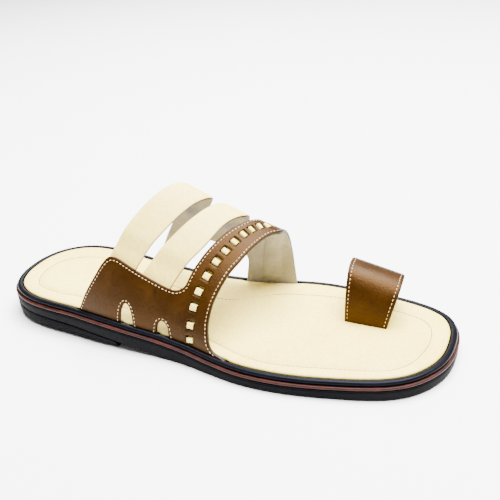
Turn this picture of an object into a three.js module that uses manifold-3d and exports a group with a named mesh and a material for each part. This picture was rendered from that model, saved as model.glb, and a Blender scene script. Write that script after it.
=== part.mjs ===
// A man's leather toe-loop sandal for the right foot, about EU 42 to 43, in millimetres.
// +Y points to the toes, +X to the wearer's right (the lateral side) and +Z up. The origin is on
// the ground, in the middle of the outsole's length and width.
// Every height above the sole is counted from the edge of the insole, which runs high at the
// heel and low under the toes.
import * as THREE from 'three';
import Module from 'manifold-3d';
import { mergeVertices } from 'three/addons/utils/BufferGeometryUtils.js';
import { TessellateModifier } from 'three/addons/modifiers/TessellateModifier.js';

// Driving dimensions
const GAP = 0.3;                 // clearance between touching pieces
const HEEL_HEIGHT = 19.8;        // insole edge above the ground at the heel
const BALL_HEIGHT = 10.6;        // insole edge above the ground at the ball of the foot
const TOE_SPRING = 1.2;          // how far the toe end rises
const SOLE_OVERHANG = 5.5;       // welt and outsole beyond the insole edge
const BREAST_Y = -50;            // front face of the heel block
const LEATHER = 2.0;             // lined brown upper
const STRAP = 1.6;               // lined cream straps
const RIBBON = 0.8;              // cream ribbon woven through the band
const LOOP = 2.2;                // lined toe loop
const FLAT = 180;                // millimetres of flat pattern for one trip over the foot

// Insole edge seen from above: one row per station, both sides of the shoe
const HEEL_TIP = { x: -1.2, y: -137.5 };
const TOE_TIP = { x: -5.5, y: 137.5 };
const INSOLE_ROWS = [
  { y: -136.5, lateral: 9.6, medial: -12.4 },
  { y: -132, lateral: 20.6, medial: -24.2 },
  { y: -124, lateral: 27.9, medial: -33.1 },
  { y: -114, lateral: 32.4, medial: -38.1 },
  { y: -100, lateral: 35.1, medial: -39.3 },
  { y: -82, lateral: 36.9, medial: -37.1 },
  { y: -62, lateral: 39.1, medial: -34.2 },
  { y: -42, lateral: 40.1, medial: -32.8 },
  { y: -22, lateral: 40.5, medial: -34.0 },
  { y: -2, lateral: 42.7, medial: -37.8 },
  { y: 16, lateral: 46.8, medial: -42.9 },
  { y: 34, lateral: 50.2, medial: -48.1 },
  { y: 52, lateral: 50.8, medial: -50.8 },
  { y: 70, lateral: 48.9, medial: -50.2 },
  { y: 86, lateral: 45.7, medial: -48.5 },
  { y: 100, lateral: 42.3, medial: -46.0 },
  { y: 113, lateral: 37.7, medial: -42.5 },
  { y: 123, lateral: 31.1, medial: -38.3 },
  { y: 131, lateral: 21.0, medial: -32.0 },
  { y: 136, lateral: 8.9, medial: -21.3 },
];

// Underside of the outsole above the ground, from the heel seat over the waist to the toe
const UNDERSIDE_ROWS = [
  { y: -150, z: 9.0 }, { y: -95, z: 8.6 }, { y: -70, z: 7.2 }, { y: -50, z: 4.8 },
  { y: -32, z: 1.9 }, { y: -14, z: 0 }, { y: 96, z: 0 }, { y: 120, z: 0.3 }, { y: 150, z: TOE_SPRING },
];

// The instep of the last: superellipse sections that lean to the medial side
const LAST = { power: 1.6, crestShift: 17, height: 66.2, fall: 21.3 };

// Outline of the brown upper on the last. t runs over the foot from 0 at the lateral edge of the
// insole to 1 at the medial edge, y runs to the toes. Values just under 0 and over 1 are the
// margins tucked in beside the insole.
const TUCK = 0.0085;
const UPPER_ROWS = {
  lateralRear: [
    { t: -TUCK, y: -77.2 }, { t: 0.012, y: -76.5 }, { t: 0.052, y: -73 }, { t: 0.082, y: -69.5 },
    { t: 0.112, y: -65.5 }, { t: 0.143, y: -61.5 }, { t: 0.162, y: -58.5 }, { t: 0.172, y: -55.8 },
    { t: 0.176, y: -51 },
  ],
  lateralTop: [
    { t: 0.17, y: -42.5 }, { t: 0.165, y: -35.5 }, { t: 0.161, y: -29 }, { t: 0.158, y: -22.5 },
    { t: 0.157, y: -17 }, { t: 0.16, y: -12.5 }, { t: 0.17, y: -9 }, { t: 0.184, y: -6.8 },
    { t: 0.21, y: -5.3 },
  ],
  bandRear: [
    { t: 0.238, y: -3.5 }, { t: 0.283, y: 0 }, { t: 0.325, y: 3.6 }, { t: 0.367, y: 7.2 },
    { t: 0.41, y: 11 }, { t: 0.45, y: 14.2 }, { t: 0.49, y: 16.6 }, { t: 0.53, y: 18 },
    { t: 0.57, y: 18.4 }, { t: 0.61, y: 17.9 }, { t: 0.65, y: 16.8 }, { t: 0.69, y: 14.8 },
    { t: 0.72, y: 13 }, { t: 0.75, y: 10.8 }, { t: 0.773, y: 8.6 }, { t: 0.786, y: 5.6 },
  ],
  medialTop: [
    { t: 0.792, y: 1.5 }, { t: 0.793, y: -7 }, { t: 0.793, y: -15.5 }, { t: 0.792, y: -23 },
    { t: 0.789, y: -30 }, { t: 0.788, y: -36 }, { t: 0.792, y: -39.6 },
  ],
  medialRear: [
    { t: 0.802, y: -42 }, { t: 0.816, y: -43.4 }, { t: 0.834, y: -45.2 }, { t: 0.88, y: -50.2 },
    { t: 0.922, y: -54.2 }, { t: 0.96, y: -56.8 }, { t: 1, y: -58.2 }, { t: 1 + TUCK, y: -58.6 },
  ],
  medialOpening: [
    { t: 1 + TUCK, y: -43.5 }, { t: 0.972, y: -43.3 }, { t: 0.933, y: -42.2 },
    { t: 0.893, y: -39.3 }, { t: 0.862, y: -34.5 }, { t: 0.848, y: -27.5 }, { t: 0.845, y: -19 },
    { t: 0.845, y: -9 }, { t: 0.849, y: -2 }, { t: 0.862, y: 2 }, { t: 0.885, y: 3.6 },
    { t: 0.91, y: 3.5 }, { t: 0.95, y: 2.5 }, { t: 1 + TUCK, y: 1.6 },
  ],
  bandFront: [
    { t: 1 + TUCK, y: 34 }, { t: 0.985, y: 33.3 }, { t: 0.93, y: 32.8 }, { t: 0.88, y: 32.5 },
    { t: 0.83, y: 32.5 }, { t: 0.78, y: 32.6 }, { t: 0.73, y: 32.9 }, { t: 0.68, y: 33.4 },
    { t: 0.63, y: 34 }, { t: 0.58, y: 34.6 }, { t: 0.54, y: 34.8 }, { t: 0.508, y: 34 },
    { t: 0.478, y: 32.2 }, { t: 0.445, y: 29.8 }, { t: 0.4, y: 26.8 }, { t: 0.355, y: 23.6 },
    { t: 0.31, y: 20.5 }, { t: 0.27, y: 17.2 }, { t: 0.218, y: 14 }, { t: 0.173, y: 11.9 },
    { t: 0.13, y: 11.1 }, { t: 0.095, y: 11.4 }, { t: 0.048, y: 13 }, { t: 0.02, y: 16 },
    { t: 0.006, y: 20 }, { t: -TUCK, y: 24 },
  ],
  frontArch: [
    { t: -TUCK, y: -14 }, { t: 0.01, y: -14.2 }, { t: 0.04, y: -15 }, { t: 0.055, y: -16.5 },
    { t: 0.06, y: -18.7 }, { t: 0.055, y: -20.8 }, { t: 0.04, y: -22.2 }, { t: 0.01, y: -22.9 },
    { t: -TUCK, y: -23 },
  ],
  rearArch: [
    { t: -TUCK, y: -38.4 }, { t: 0.01, y: -38.5 }, { t: 0.045, y: -39.2 }, { t: 0.067, y: -40.7 },
    { t: 0.0755, y: -43 }, { t: 0.067, y: -45.2 }, { t: 0.045, y: -46.7 }, { t: 0.01, y: -47.4 },
    { t: -TUCK, y: -47.5 },
  ],
};

// Middle of the woven ribbon on the band
const RIBBON_ROWS = [
  { t: 0.005, y: 0.8 }, { t: 0.05, y: 0 }, { t: 0.095, y: 0 }, { t: 0.14, y: 0.5 },
  { t: 0.185, y: 2 }, { t: 0.232, y: 4.7 }, { t: 0.278, y: 7.8 }, { t: 0.318, y: 11 },
  { t: 0.358, y: 14.1 }, { t: 0.398, y: 17.1 }, { t: 0.435, y: 20 }, { t: 0.475, y: 23 },
  { t: 0.515, y: 25.3 }, { t: 0.56, y: 26.5 }, { t: 0.61, y: 26.7 }, { t: 0.67, y: 25.8 },
  { t: 0.73, y: 24 }, { t: 0.8, y: 21.2 }, { t: 0.87, y: 19.2 }, { t: 0.93, y: 18 },
  { t: 0.99, y: 17.3 },
];
// Windows in the band: where each one's middle lies and how long it is
const WINDOW_ROWS = [
  { t: 0.032, length: 5.2 }, { t: 0.085, length: 5.8 }, { t: 0.14, length: 5.9 },
  { t: 0.185, length: 5.9 }, { t: 0.232, length: 5.9 }, { t: 0.278, length: 5.6 },
  { t: 0.318, length: 5.2 }, { t: 0.358, length: 5 }, { t: 0.398, length: 4.6 },
  { t: 0.435, length: 4.3 }, { t: 0.477, length: 4.3 }, { t: 0.532, length: 4.6 },
  { t: 0.594, length: 4.8 }, { t: 0.652, length: 4.8 }, { t: 0.708, length: 4.8 },
  { t: 0.76, length: 4.8 }, { t: 0.812, length: 4.8 }, { t: 0.865, length: 4.8 },
  { t: 0.918, length: 4.8 },
];
const WINDOW_WIDTH = 4.8;
const RIBBON_WIDTH = 4.2;
const RISE = 1.1;                // run in which the ribbon climbs into a window

// Cream straps: both edges where they cross each t
const REAR_STRAP_ROWS = [
  { t: 0.12, rear: -62, front: -43.5 }, { t: 0.2, rear: -54, front: -36 },
  { t: 0.3, rear: -43.5, front: -24.8 }, { t: 0.4, rear: -34, front: -15.8 },
  { t: 0.5, rear: -27, front: -9.2 }, { t: 0.6, rear: -27.2, front: -10.2 },
  { t: 0.7, rear: -32.6, front: -16 }, { t: 0.79, rear: -39.6, front: -23 },
  { t: 0.815, rear: -41, front: -25 },
];
const FRONT_STRAP_ROWS = [
  { t: 0.12, rear: -39.5, front: -19.5 }, { t: 0.2, rear: -30.6, front: -12.8 },
  { t: 0.3, rear: -19, front: -1.6 }, { t: 0.4, rear: -9.5, front: 5.2 },
  { t: 0.5, rear: -3.2, front: 11.8 }, { t: 0.6, rear: -3.2, front: 12.3 },
  { t: 0.7, rear: -8.5, front: 8.2 }, { t: 0.79, rear: -15, front: 2.5 },
  { t: 0.815, rear: -16.8, front: 0.7 },
];

// The toe loop: its rear and front edge, feet and crest
const LOOP_EDGES = [
  { lateral: -9.6, medial: -46.4, lateralY: 76.7, medialY: 72.8, height: 31.4, lean: -0.6 },
  { lateral: -8.0, medial: -43.8, lateralY: 101.9, medialY: 98.3, height: 24.6, lean: 6.3 },
];
const LOOP_POWER = 2.4;

// Colours seen in the photograph
const BLACK = { color: 0x15151a, roughness: 0.45, metalness: 0 };
const WELT_BROWN = { color: 0x6e3c2e, roughness: 0.5, metalness: 0 };
const CREAM = { color: 0xf3e9c6, roughness: 0.5, metalness: 0 };
const STRAP_CREAM = { color: 0xf0e8cf, roughness: 0.45, metalness: 0 };
const BROWN = { color: 0x6f4420, roughness: 0.55, metalness: 0 };

const wasm = await Module();
wasm.setup();

const smooth = (from, to, value) => {
  const s = THREE.MathUtils.clamp((value - from) / (to - from), 0, 1);
  return s * s * (3 - 2 * s);
};

// Smooth interpolation in a table: a cubic with the slopes of the neighbouring rows
function lookUp(rows, key, column, at) {
  const last = rows.length - 1;
  if (at <= rows[0][key]) return rows[0][column];
  if (at >= rows[last][key]) return rows[last][column];
  let i = 0;
  while (rows[i + 1][key] < at) i += 1;
  const slope = (k) => {
    const a = rows[Math.max(k - 1, 0)];
    const b = rows[Math.min(k + 1, last)];
    return (b[column] - a[column]) / (b[key] - a[key]);
  };
  const width = rows[i + 1][key] - rows[i][key];
  const s = (at - rows[i][key]) / width;
  const s2 = s * s;
  const s3 = s2 * s;
  return rows[i][column] * (2 * s3 - 3 * s2 + 1) + rows[i + 1][column] * (3 * s2 - 2 * s3)
    + width * (slope(i) * (s3 - 2 * s2 + s) + slope(i + 1) * (s3 - s2));
}

// Height of the insole edge and of the outsole's underside
function edgeHeight(y) {
  return BALL_HEIGHT + (HEEL_HEIGHT - BALL_HEIGHT) * (1 - smooth(-90, 38, y))
    + TOE_SPRING * smooth(60, 145, y);
}
function underside(y) {
  if (y > -14 && y < 96) return 0;
  return Math.max(0, lookUp(UNDERSIDE_ROWS, 'y', 'z', y));
}

// The insole edge as a closed curve, sampled closely
const outline = new THREE.CatmullRomCurve3([
  new THREE.Vector3(HEEL_TIP.x, HEEL_TIP.y, 0),
  ...INSOLE_ROWS.map((row) => new THREE.Vector3(row.lateral, row.y, 0)),
  new THREE.Vector3(TOE_TIP.x, TOE_TIP.y, 0),
  ...INSOLE_ROWS.slice().reverse().map((row) => new THREE.Vector3(row.medial, row.y, 0)),
], true, 'centripetal').getPoints(840);
const tipIndex = outline.reduce((best, p, i) => (p.y > outline[best].y ? i : best), 0);
const heelIndex = outline.reduce((best, p, i) => (p.y < outline[best].y ? i : best), 0);
const around = (i) => outline[(i + outline.length - 1) % (outline.length - 1)];
const lateralSide = outline.slice(heelIndex, tipIndex + 1);
const medialSide = [...outline.slice(tipIndex), outline[heelIndex]].reverse();

function sideX(side, y) {
  let i = 1;
  while (i < side.length - 1 && side[i].y < y) i += 1;
  const a = side[i - 1];
  const b = side[i];
  const s = b.y === a.y ? 0 : THREE.MathUtils.clamp((y - a.y) / (b.y - a.y), 0, 1);
  return a.x + (b.x - a.x) * s;
}

// Stations from heel to toe, closer together at both ends
const STATIONS = 33;
const stationYs = Array.from({ length: STATIONS + 2 }, (_, k) => (
  -137.5 + 137.5 * (1 - Math.cos((Math.PI * k) / (STATIONS + 1)))
));
const SIDE = STATIONS + 1;

// One ring around the shoe: heel tip, lateral side, toe tip, medial side
const ringBase = [];
for (let k = 0; k <= SIDE; k += 1) ringBase.push({ side: lateralSide, y: stationYs[k] });
for (let k = SIDE - 1; k >= 1; k -= 1) ringBase.push({ side: medialSide, y: stationYs[k] });
const ringPoints = ringBase.map(({ side, y }) => {
  const x = sideX(side, y);
  let near = 0;
  for (let i = 1; i < outline.length - 1; i += 1) {
    const here = (outline[i].x - x) ** 2 + (outline[i].y - y) ** 2;
    if (here < (outline[near].x - x) ** 2 + (outline[near].y - y) ** 2) near = i;
  }
  const along = around(near + 3).clone().sub(around(near - 3)).normalize();
  return { x, y, outX: along.y, outY: -along.x };
});
const RING = ringPoints.length;

function ring(out, height) {
  return ringPoints.map((p) => {
    const x = p.x + p.outX * out;
    const y = p.y + p.outY * out;
    return new THREE.Vector3(x, y, height(y));
  });
}

function solid(points, faces) {
  const geometry = new THREE.BufferGeometry();
  geometry.setAttribute('position', new THREE.Float32BufferAttribute(points.flatMap((p) => [p.x, p.y, p.z]), 3));
  geometry.setIndex(faces.flat());
  return geometry;
}

// A layer of the sole: profile rows go from the underside outwards and up to the top side.
// A closed profile makes a frame that is open in the middle.
function layer(profile, { frame = false } = {}) {
  const rings = profile.map(({ out, height }) => ring(out, height));
  const points = rings.flat();
  const at = (r, i) => (r % rings.length) * RING + (i % RING);
  const faces = [];
  for (let r = 0; r < rings.length - (frame ? 0 : 1); r += 1) {
    for (let i = 0; i < RING; i += 1) {
      faces.push([at(r, i), at(r, i + 1), at(r + 1, i + 1)], [at(r, i), at(r + 1, i + 1), at(r + 1, i)]);
    }
  }
  if (!frame) {
    for (let k = 0; k < SIDE; k += 1) {
      const lateral = [k, k + 1];
      const medial = [(RING - k) % RING, RING - k - 1];
      for (const [r, up] of [[0, false], [rings.length - 1, true]]) {
        const quad = [lateral[0], lateral[1], medial[1], medial[0]].map((i) => at(r, i));
        if (!up) quad.reverse();
        const corners = quad.filter((v, i) => v !== quad[(i + 1) % 4]);
        for (let i = 1; i < corners.length - 1; i += 1) {
          faces.push([corners[0], corners[i], corners[i + 1]]);
        }
      }
    }
  }
  return solid(points, faces);
}

const above = (offset) => (y) => edgeHeight(y) + offset;

// Joining and cutting of closed solids
function toManifold(geometry) {
  const bare = geometry.clone();
  bare.deleteAttribute('normal');
  bare.deleteAttribute('uv');
  const merged = mergeVertices(bare, 1e-4);
  return new wasm.Manifold(new wasm.Mesh({
    numProp: 3,
    vertProperties: new Float32Array(merged.attributes.position.array),
    triVerts: new Uint32Array(merged.index.array),
  }));
}
function fromManifold(body) {
  const mesh = body.getMesh();
  const geometry = new THREE.BufferGeometry();
  geometry.setAttribute('position', new THREE.Float32BufferAttribute(mesh.vertProperties, 3));
  geometry.setIndex(Array.from(mesh.triVerts));
  return geometry;
}
function cut(geometry, cutters) {
  return fromManifold(cutters.reduce((body, c) => body.subtract(toManifold(c)), toManifold(geometry)));
}

// The outer surface of the upper over the last
function lastPoint(t, y) {
  const lateral = sideX(lateralSide, y) + 1.7;
  const medial = sideX(medialSide, y) - 1.7;
  const angle = Math.PI * THREE.MathUtils.clamp(t, 0, 1);
  const reach = (y + 10) / 60;
  const height = LAST.height - LAST.fall * reach + 0.8 * reach * reach;
  const power = 2 / LAST.power;
  const c = Math.cos(angle);
  const s = Math.max(Math.sin(angle), 0);
  const x = (lateral + medial) / 2 + ((lateral - medial) / 2) * Math.sign(c) * Math.abs(c) ** power
    - LAST.crestShift * s * s;
  const tucked = t < 0 ? t : Math.min(1 - t, 0);
  return new THREE.Vector3(x, y, edgeHeight(y) + height * s ** power + tucked * FLAT);
}
function lastNormal(t, y) {
  const overFoot = lastPoint(t + 0.004, y).sub(lastPoint(t - 0.004, y));
  const alongFoot = lastPoint(t, y + 0.5).sub(lastPoint(t, y - 0.5));
  return alongFoot.cross(overFoot).normalize();
}
function onLast(t, y, depth) {
  return lastPoint(t, y).addScaledVector(lastNormal(t, y), -depth);
}

// A closed sheet through a grid of stations, each with its outer and inner point
function sheet(grid) {
  const rows = grid.length;
  const columns = grid[0].length;
  const points = [...grid.flat().map((p) => p.outer), ...grid.flat().map((p) => p.inner)];
  const at = (side, i, j) => side * rows * columns + i * columns + j;
  const faces = [];
  const quad = (a, b, c, d) => faces.push([a, b, c], [a, c, d]);
  for (let i = 0; i < rows - 1; i += 1) {
    for (let j = 0; j < columns - 1; j += 1) {
      quad(at(0, i, j), at(0, i, j + 1), at(0, i + 1, j + 1), at(0, i + 1, j));
      quad(at(1, i, j), at(1, i + 1, j), at(1, i + 1, j + 1), at(1, i, j + 1));
    }
    const end = columns - 1;
    quad(at(0, i, 0), at(0, i + 1, 0), at(1, i + 1, 0), at(1, i, 0));
    quad(at(0, i + 1, end), at(0, i, end), at(1, i, end), at(1, i + 1, end));
  }
  for (let j = 0; j < columns - 1; j += 1) {
    const end = rows - 1;
    quad(at(0, 0, j + 1), at(0, 0, j), at(1, 0, j), at(1, 0, j + 1));
    quad(at(0, end, j), at(0, end, j + 1), at(1, end, j + 1), at(1, end, j));
  }
  return solid(points, faces);
}

// The ribbon's middle line with its length over the last, for even windows
const ribbonY = (t) => lookUp(RIBBON_ROWS, 't', 'y', t);
const ribbonLine = Array.from({ length: 601 }, (_, i) => ({ t: i / 600, s: 0 }));
for (let i = 1; i < ribbonLine.length; i += 1) {
  const a = ribbonLine[i - 1];
  const b = ribbonLine[i];
  b.s = a.s + lastPoint(a.t, ribbonY(a.t)).distanceTo(lastPoint(b.t, ribbonY(b.t)));
}
function ribbonT(s) {
  let i = 1;
  while (i < ribbonLine.length - 1 && ribbonLine[i].s < s) i += 1;
  const a = ribbonLine[i - 1];
  const b = ribbonLine[i];
  return a.t + ((b.t - a.t) * (s - a.s)) / (b.s - a.s);
}
// A step sideways of one millimetre from the ribbon's middle, in t and y
function ribbonSide(s) {
  const t = ribbonT(s);
  const y = ribbonY(t);
  const tangent = lastPoint(ribbonT(s + 1), ribbonY(ribbonT(s + 1)))
    .sub(lastPoint(ribbonT(s - 1), ribbonY(ribbonT(s - 1)))).normalize();
  const sideways = lastNormal(t, y).cross(tangent).normalize();
  const perT = lastPoint(t + 0.004, y).sub(lastPoint(t - 0.004, y)).multiplyScalar(125);
  const perY = lastPoint(t, y + 0.5).sub(lastPoint(t, y - 0.5));
  const tt = perT.dot(perT);
  const ty = perT.dot(perY);
  const yy = perY.dot(perY);
  const det = tt * yy - ty * ty;
  const a = perT.dot(sideways);
  const b = perY.dot(sideways);
  return { t: (a * yy - b * ty) / det, y: (b * tt - a * ty) / det };
}
function ribbonSpot(s, across) {
  const side = ribbonSide(s);
  const t = ribbonT(s);
  return { t: t + side.t * across, y: ribbonY(t) + side.y * across };
}
const windowStations = WINDOW_ROWS.map(({ t, length }) => (
  { s: ribbonLine[Math.round(t * 600)].s, half: length / 2 }
));

// The brown upper: a flat pattern with its windows, bent over the last
function upperShell() {
  const flat = ({ t, y }) => new THREE.Vector2(-t * FLAT, y);
  const open = (rows) => new THREE.SplineCurve(rows.map(flat)).getPoints(Math.ceil(rows.length * 1.6));
  const r = UPPER_ROWS;
  const top = [...r.lateralTop, ...r.bandRear, ...r.medialTop];
  const edge = [
    ...open([...r.lateralRear, ...top, ...r.medialRear]),
    ...open(r.medialOpening),
    ...open(r.bandFront),
    ...open(r.frontArch),
    ...open(r.rearArch),
  ];
  const pattern = new THREE.Shape(edge);
  for (const { s, half } of windowStations) {
    const w = WINDOW_WIDTH / 2;
    const corners = [[-half, -w], [half, -w], [half, w], [-half, w]];
    pattern.holes.push(new THREE.Path(corners.map(([ds, a]) => flat(ribbonSpot(s + ds, a)))));
  }
  const plate = new THREE.ExtrudeGeometry(pattern, { depth: LEATHER, bevelEnabled: false, steps: 1 });
  const fine = new TessellateModifier(9, 12).modify(plate);
  const position = fine.attributes.position;
  for (let i = 0; i < position.count; i += 1) {
    const p = onLast(-position.getX(i) / FLAT, position.getY(i), LEATHER - position.getZ(i));
    position.setXYZ(i, p.x, p.y, p.z);
  }
  return fine;
}

// The channels beside the insole that take the upper's margins
function channel(side, from, to) {
  const sign = side === 'lateral' ? 1 : -1;
  const rows = Math.max(2, Math.ceil((to - from) / 6) + 1);
  const grid = Array.from({ length: rows }, (_, i) => {
    const y = from - GAP + ((to - from + 2 * GAP) * i) / (rows - 1);
    const x = sideX(side === 'lateral' ? lateralSide : medialSide, y);
    const outer = x + sign * (1.7 + GAP);
    const inner = x + sign * (1.7 - LEATHER - GAP - 0.1);
    return [-1.85, 6].map((z) => ({
      outer: new THREE.Vector3(outer, y, edgeHeight(y) + z),
      inner: new THREE.Vector3(inner, y, edgeHeight(y) + z),
    }));
  });
  return sheet(side === 'lateral' ? grid.slice().reverse() : grid);
}
const channels = () => [
  channel('lateral', -77.3, -47.3), channel('lateral', -38.6, -22.8), channel('lateral', -14.2, 24.1),
  channel('medial', -58.7, -43.3), channel('medial', 1.7, 34.1),
];

// A cream strap: flush with the last in the open, tucked under the brown leather at both ends
function strap(rows) {
  const last = rows.length - 1;
  const from = rows[0].t;
  const to = rows[last].t;
  const steps = 34;
  const grid = Array.from({ length: steps + 1 }, (_, i) => {
    const t = from + ((to - from) * i) / steps;
    const rear = lookUp(rows, 't', 'rear', t);
    const front = lookUp(rows, 't', 'front', t);
    const open = smooth(0.2, 0.25, t) * (1 - smooth(0.73, 0.765, t));
    const depth = THREE.MathUtils.lerp(LEATHER + GAP, 0.2, open);
    return [0, 1, 2, 3].map((j) => {
      const y = rear + ((front - rear) * j) / 3;
      return { outer: onLast(t, y, depth), inner: onLast(t, y, depth + STRAP) };
    });
  });
  return sheet(grid);
}

// The ribbon: under the band between the windows, up through each of them
function ribbon() {
  const low = LEATHER + GAP;
  const high = -0.1;
  const stops = [{ s: 1.1, depth: low }];
  for (const { s, half } of windowStations) {
    stops.push({ s: s - half + 0.25, depth: low }, { s: s - half + 0.25 + RISE, depth: high });
    stops.push({ s, depth: high - 0.15 });
    stops.push({ s: s + half - 0.25 - RISE, depth: high }, { s: s + half - 0.25, depth: low });
  }
  stops.push({ s: windowStations[windowStations.length - 1].s + 7, depth: low });
  const grid = stops.map(({ s, depth }) => [-0.5, 0.5].map((j) => {
    const { t, y } = ribbonSpot(s, -j * RIBBON_WIDTH);
    return { outer: onLast(t, y, depth), inner: onLast(t, y, depth + RIBBON) };
  }));
  return sheet(grid);
}

// The toe loop, from its foot between the toes over the big toe to the medial edge
function toeLoop(thickness, grow) {
  const steps = 30;
  const middle = (i, j) => {
    const angle = (Math.PI * i) / steps;
    const c = Math.cos(angle);
    const s = Math.max(Math.sin(angle), 0);
    const [a, b] = LOOP_EDGES.map((edge) => new THREE.Vector3(
      (edge.lateral + edge.medial) / 2
        + ((edge.lateral - edge.medial) / 2) * Math.sign(c) * Math.abs(c) ** (2 / LOOP_POWER),
      edge.lateralY + (edge.medialY - edge.lateralY) * ((1 - c) / 2) + edge.lean * s,
      edge.height * s ** (2 / LOOP_POWER),
    ));
    const p = a.lerp(b, j);
    p.z += edgeHeight(p.y) + 0.2;
    return p;
  };
  const columns = [0 - grow / 25, 1 / 3, 2 / 3, 1 + grow / 25];
  const grid = [];
  for (let i = 0; i <= steps; i += 1) {
    grid.push(columns.map((j) => {
      const p = middle(i, j);
      const over = middle(Math.min(i + 0.5, steps), j).sub(middle(Math.max(i - 0.5, 0), j));
      const along = middle(i, j + 0.1).sub(middle(i, j - 0.1));
      const normal = along.cross(over).normalize();
      if (i === 0 || i === steps) normal.set(i === 0 ? 1 : -1, 0, 0);
      return {
        outer: p.clone().addScaledVector(normal, thickness / 2),
        inner: p.clone().addScaledVector(normal, -thickness / 2),
      };
    }));
  }
  const drop = 1.1 + grow;
  const lowered = (row) => row.map((p) => ({
    outer: p.outer.clone().setZ(p.outer.z - drop), inner: p.inner.clone().setZ(p.inner.z - drop),
  }));
  return sheet([lowered(grid[0]), ...grid, lowered(grid[steps])]);
}

// The layers of the sole
const outsoleLayer = layer([
  { out: SOLE_OVERHANG - 0.9, height: underside },
  { out: SOLE_OVERHANG - 0.1, height: (y) => underside(y) + 0.9 },
  { out: SOLE_OVERHANG, height: above(-5.5) },
  { out: SOLE_OVERHANG - 0.3, height: above(-4.9) },
]);
const weltRing = layer([
  { out: -3, height: above(-4.6) },
  { out: SOLE_OVERHANG - 0.2, height: above(-4.6) },
  { out: SOLE_OVERHANG + 0.1, height: above(-4.1) },
  { out: SOLE_OVERHANG + 0.1, height: above(-3.4) },
  { out: SOLE_OVERHANG - 0.3, height: above(-2.9) },
  { out: -3, height: above(-2.9) },
], { frame: true });
const footbedLayer = layer([
  { out: -3.3, height: above(-4.6) },
  { out: -3.3, height: above(-2.6) },
  { out: 3.4, height: above(-2.6) },
  { out: 4.1, height: above(-2.0) },
  { out: 4.3, height: above(-1.3) },
  { out: 3.9, height: above(-0.5) },
  { out: 2.9, height: above(-0.05) },
  { out: 1.6, height: above(-0.05) },
  { out: 0.6, height: above(-0.5) },
  { out: 0.3, height: above(-1.5) },
]);
const insoleLayer = layer([
  { out: 0, height: above(-1.2) },
  { out: 0, height: above(-0.6) },
  { out: -0.25, height: above(-0.1) },
  { out: -1.2, height: above(0.35) },
  { out: -4, height: above(0.7) },
  { out: -10, height: above(0.85) },
]);

// The low heel block, cut off square at its breast
const heelLayer = layer([
  { out: 2.4, height: () => 0 },
  { out: 4.0, height: () => 0.9 },
  { out: 4.9, height: () => 2.8 },
  { out: SOLE_OVERHANG - 0.2, height: (y) => Math.max(underside(y) - GAP, 3) },
]);
const heelSpace = new THREE.BoxGeometry(160, 120, 60);
heelSpace.translate(0, BREAST_Y - 60, 0);
const heelBlock = fromManifold(toManifold(heelLayer).intersect(toManifold(heelSpace)));

const group = new THREE.Group();
function add(name, geometry, look) {
  const finished = mergeVertices(geometry, 1e-4);
  finished.computeVertexNormals();
  const mesh = new THREE.Mesh(finished, new THREE.MeshStandardMaterial(look));
  mesh.name = name;
  group.add(mesh);
}
function bare(geometry) {
  geometry.deleteAttribute('normal');
  geometry.deleteAttribute('uv');
  return geometry;
}

add('outsole', outsoleLayer, BLACK);
add('heel', heelBlock, BLACK);
add('welt', weltRing, WELT_BROWN);
add('footbed', cut(footbedLayer, channels()), BLACK);
add('insole', cut(insoleLayer, [...channels(), toeLoop(LOOP + 2 * GAP, GAP)]), CREAM);
add('upper', bare(upperShell()), BROWN);
add('woven_ribbon', ribbon(), STRAP_CREAM);
add('rear_strap', strap(REAR_STRAP_ROWS), STRAP_CREAM);
add('front_strap', strap(FRONT_STRAP_ROWS), STRAP_CREAM);
add('toe_loop', toeLoop(LOOP, 0), BROWN);

export default group;
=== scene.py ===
# %% [markdown]
# # A toe-loop sandal in brown and cream leather
#
# This lesson dresses one right sandal. The plain solids of the sandal are already there, each a
# node of the frame. Every visible piece is made again with a finer surface, in the same place,
# and gets a leather, rubber or thread finish worked out from the real one.
# The sandal has a black outsole with a low heel, a leather welt line, a footbed with a wrapped
# black rim, a padded cream insole, one brown upper with a wide band, two cream straps over the
# instep, a cream ribbon woven through the band and a small loop for the big toe.

# %% Load the frame
import bisect
import math

import bpy
import bmesh
from mathutils import Matrix, Vector
from mathutils.geometry import tessellate_polygon


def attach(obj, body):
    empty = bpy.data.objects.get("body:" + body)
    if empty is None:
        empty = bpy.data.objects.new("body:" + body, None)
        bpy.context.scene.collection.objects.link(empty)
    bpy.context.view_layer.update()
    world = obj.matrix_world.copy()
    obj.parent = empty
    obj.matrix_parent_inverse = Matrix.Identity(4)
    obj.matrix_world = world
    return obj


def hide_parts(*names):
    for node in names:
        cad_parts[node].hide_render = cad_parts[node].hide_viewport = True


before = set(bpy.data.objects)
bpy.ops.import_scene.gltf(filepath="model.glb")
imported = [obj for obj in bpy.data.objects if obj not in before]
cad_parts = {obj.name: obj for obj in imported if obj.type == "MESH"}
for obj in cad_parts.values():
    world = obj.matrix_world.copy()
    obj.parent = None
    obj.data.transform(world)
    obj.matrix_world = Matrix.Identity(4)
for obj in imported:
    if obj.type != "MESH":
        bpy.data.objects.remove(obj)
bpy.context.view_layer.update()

print("solids:", sorted(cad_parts))

# %% [markdown]
# ## Sizes
#
# All sizes are millimetres, as a shoemaker would note them. +Y points to the toes, +X to the
# wearer's right and +Z up. The heights above the sole are counted from the edge of the insole,
# which runs high at the heel and low under the toes.

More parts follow.
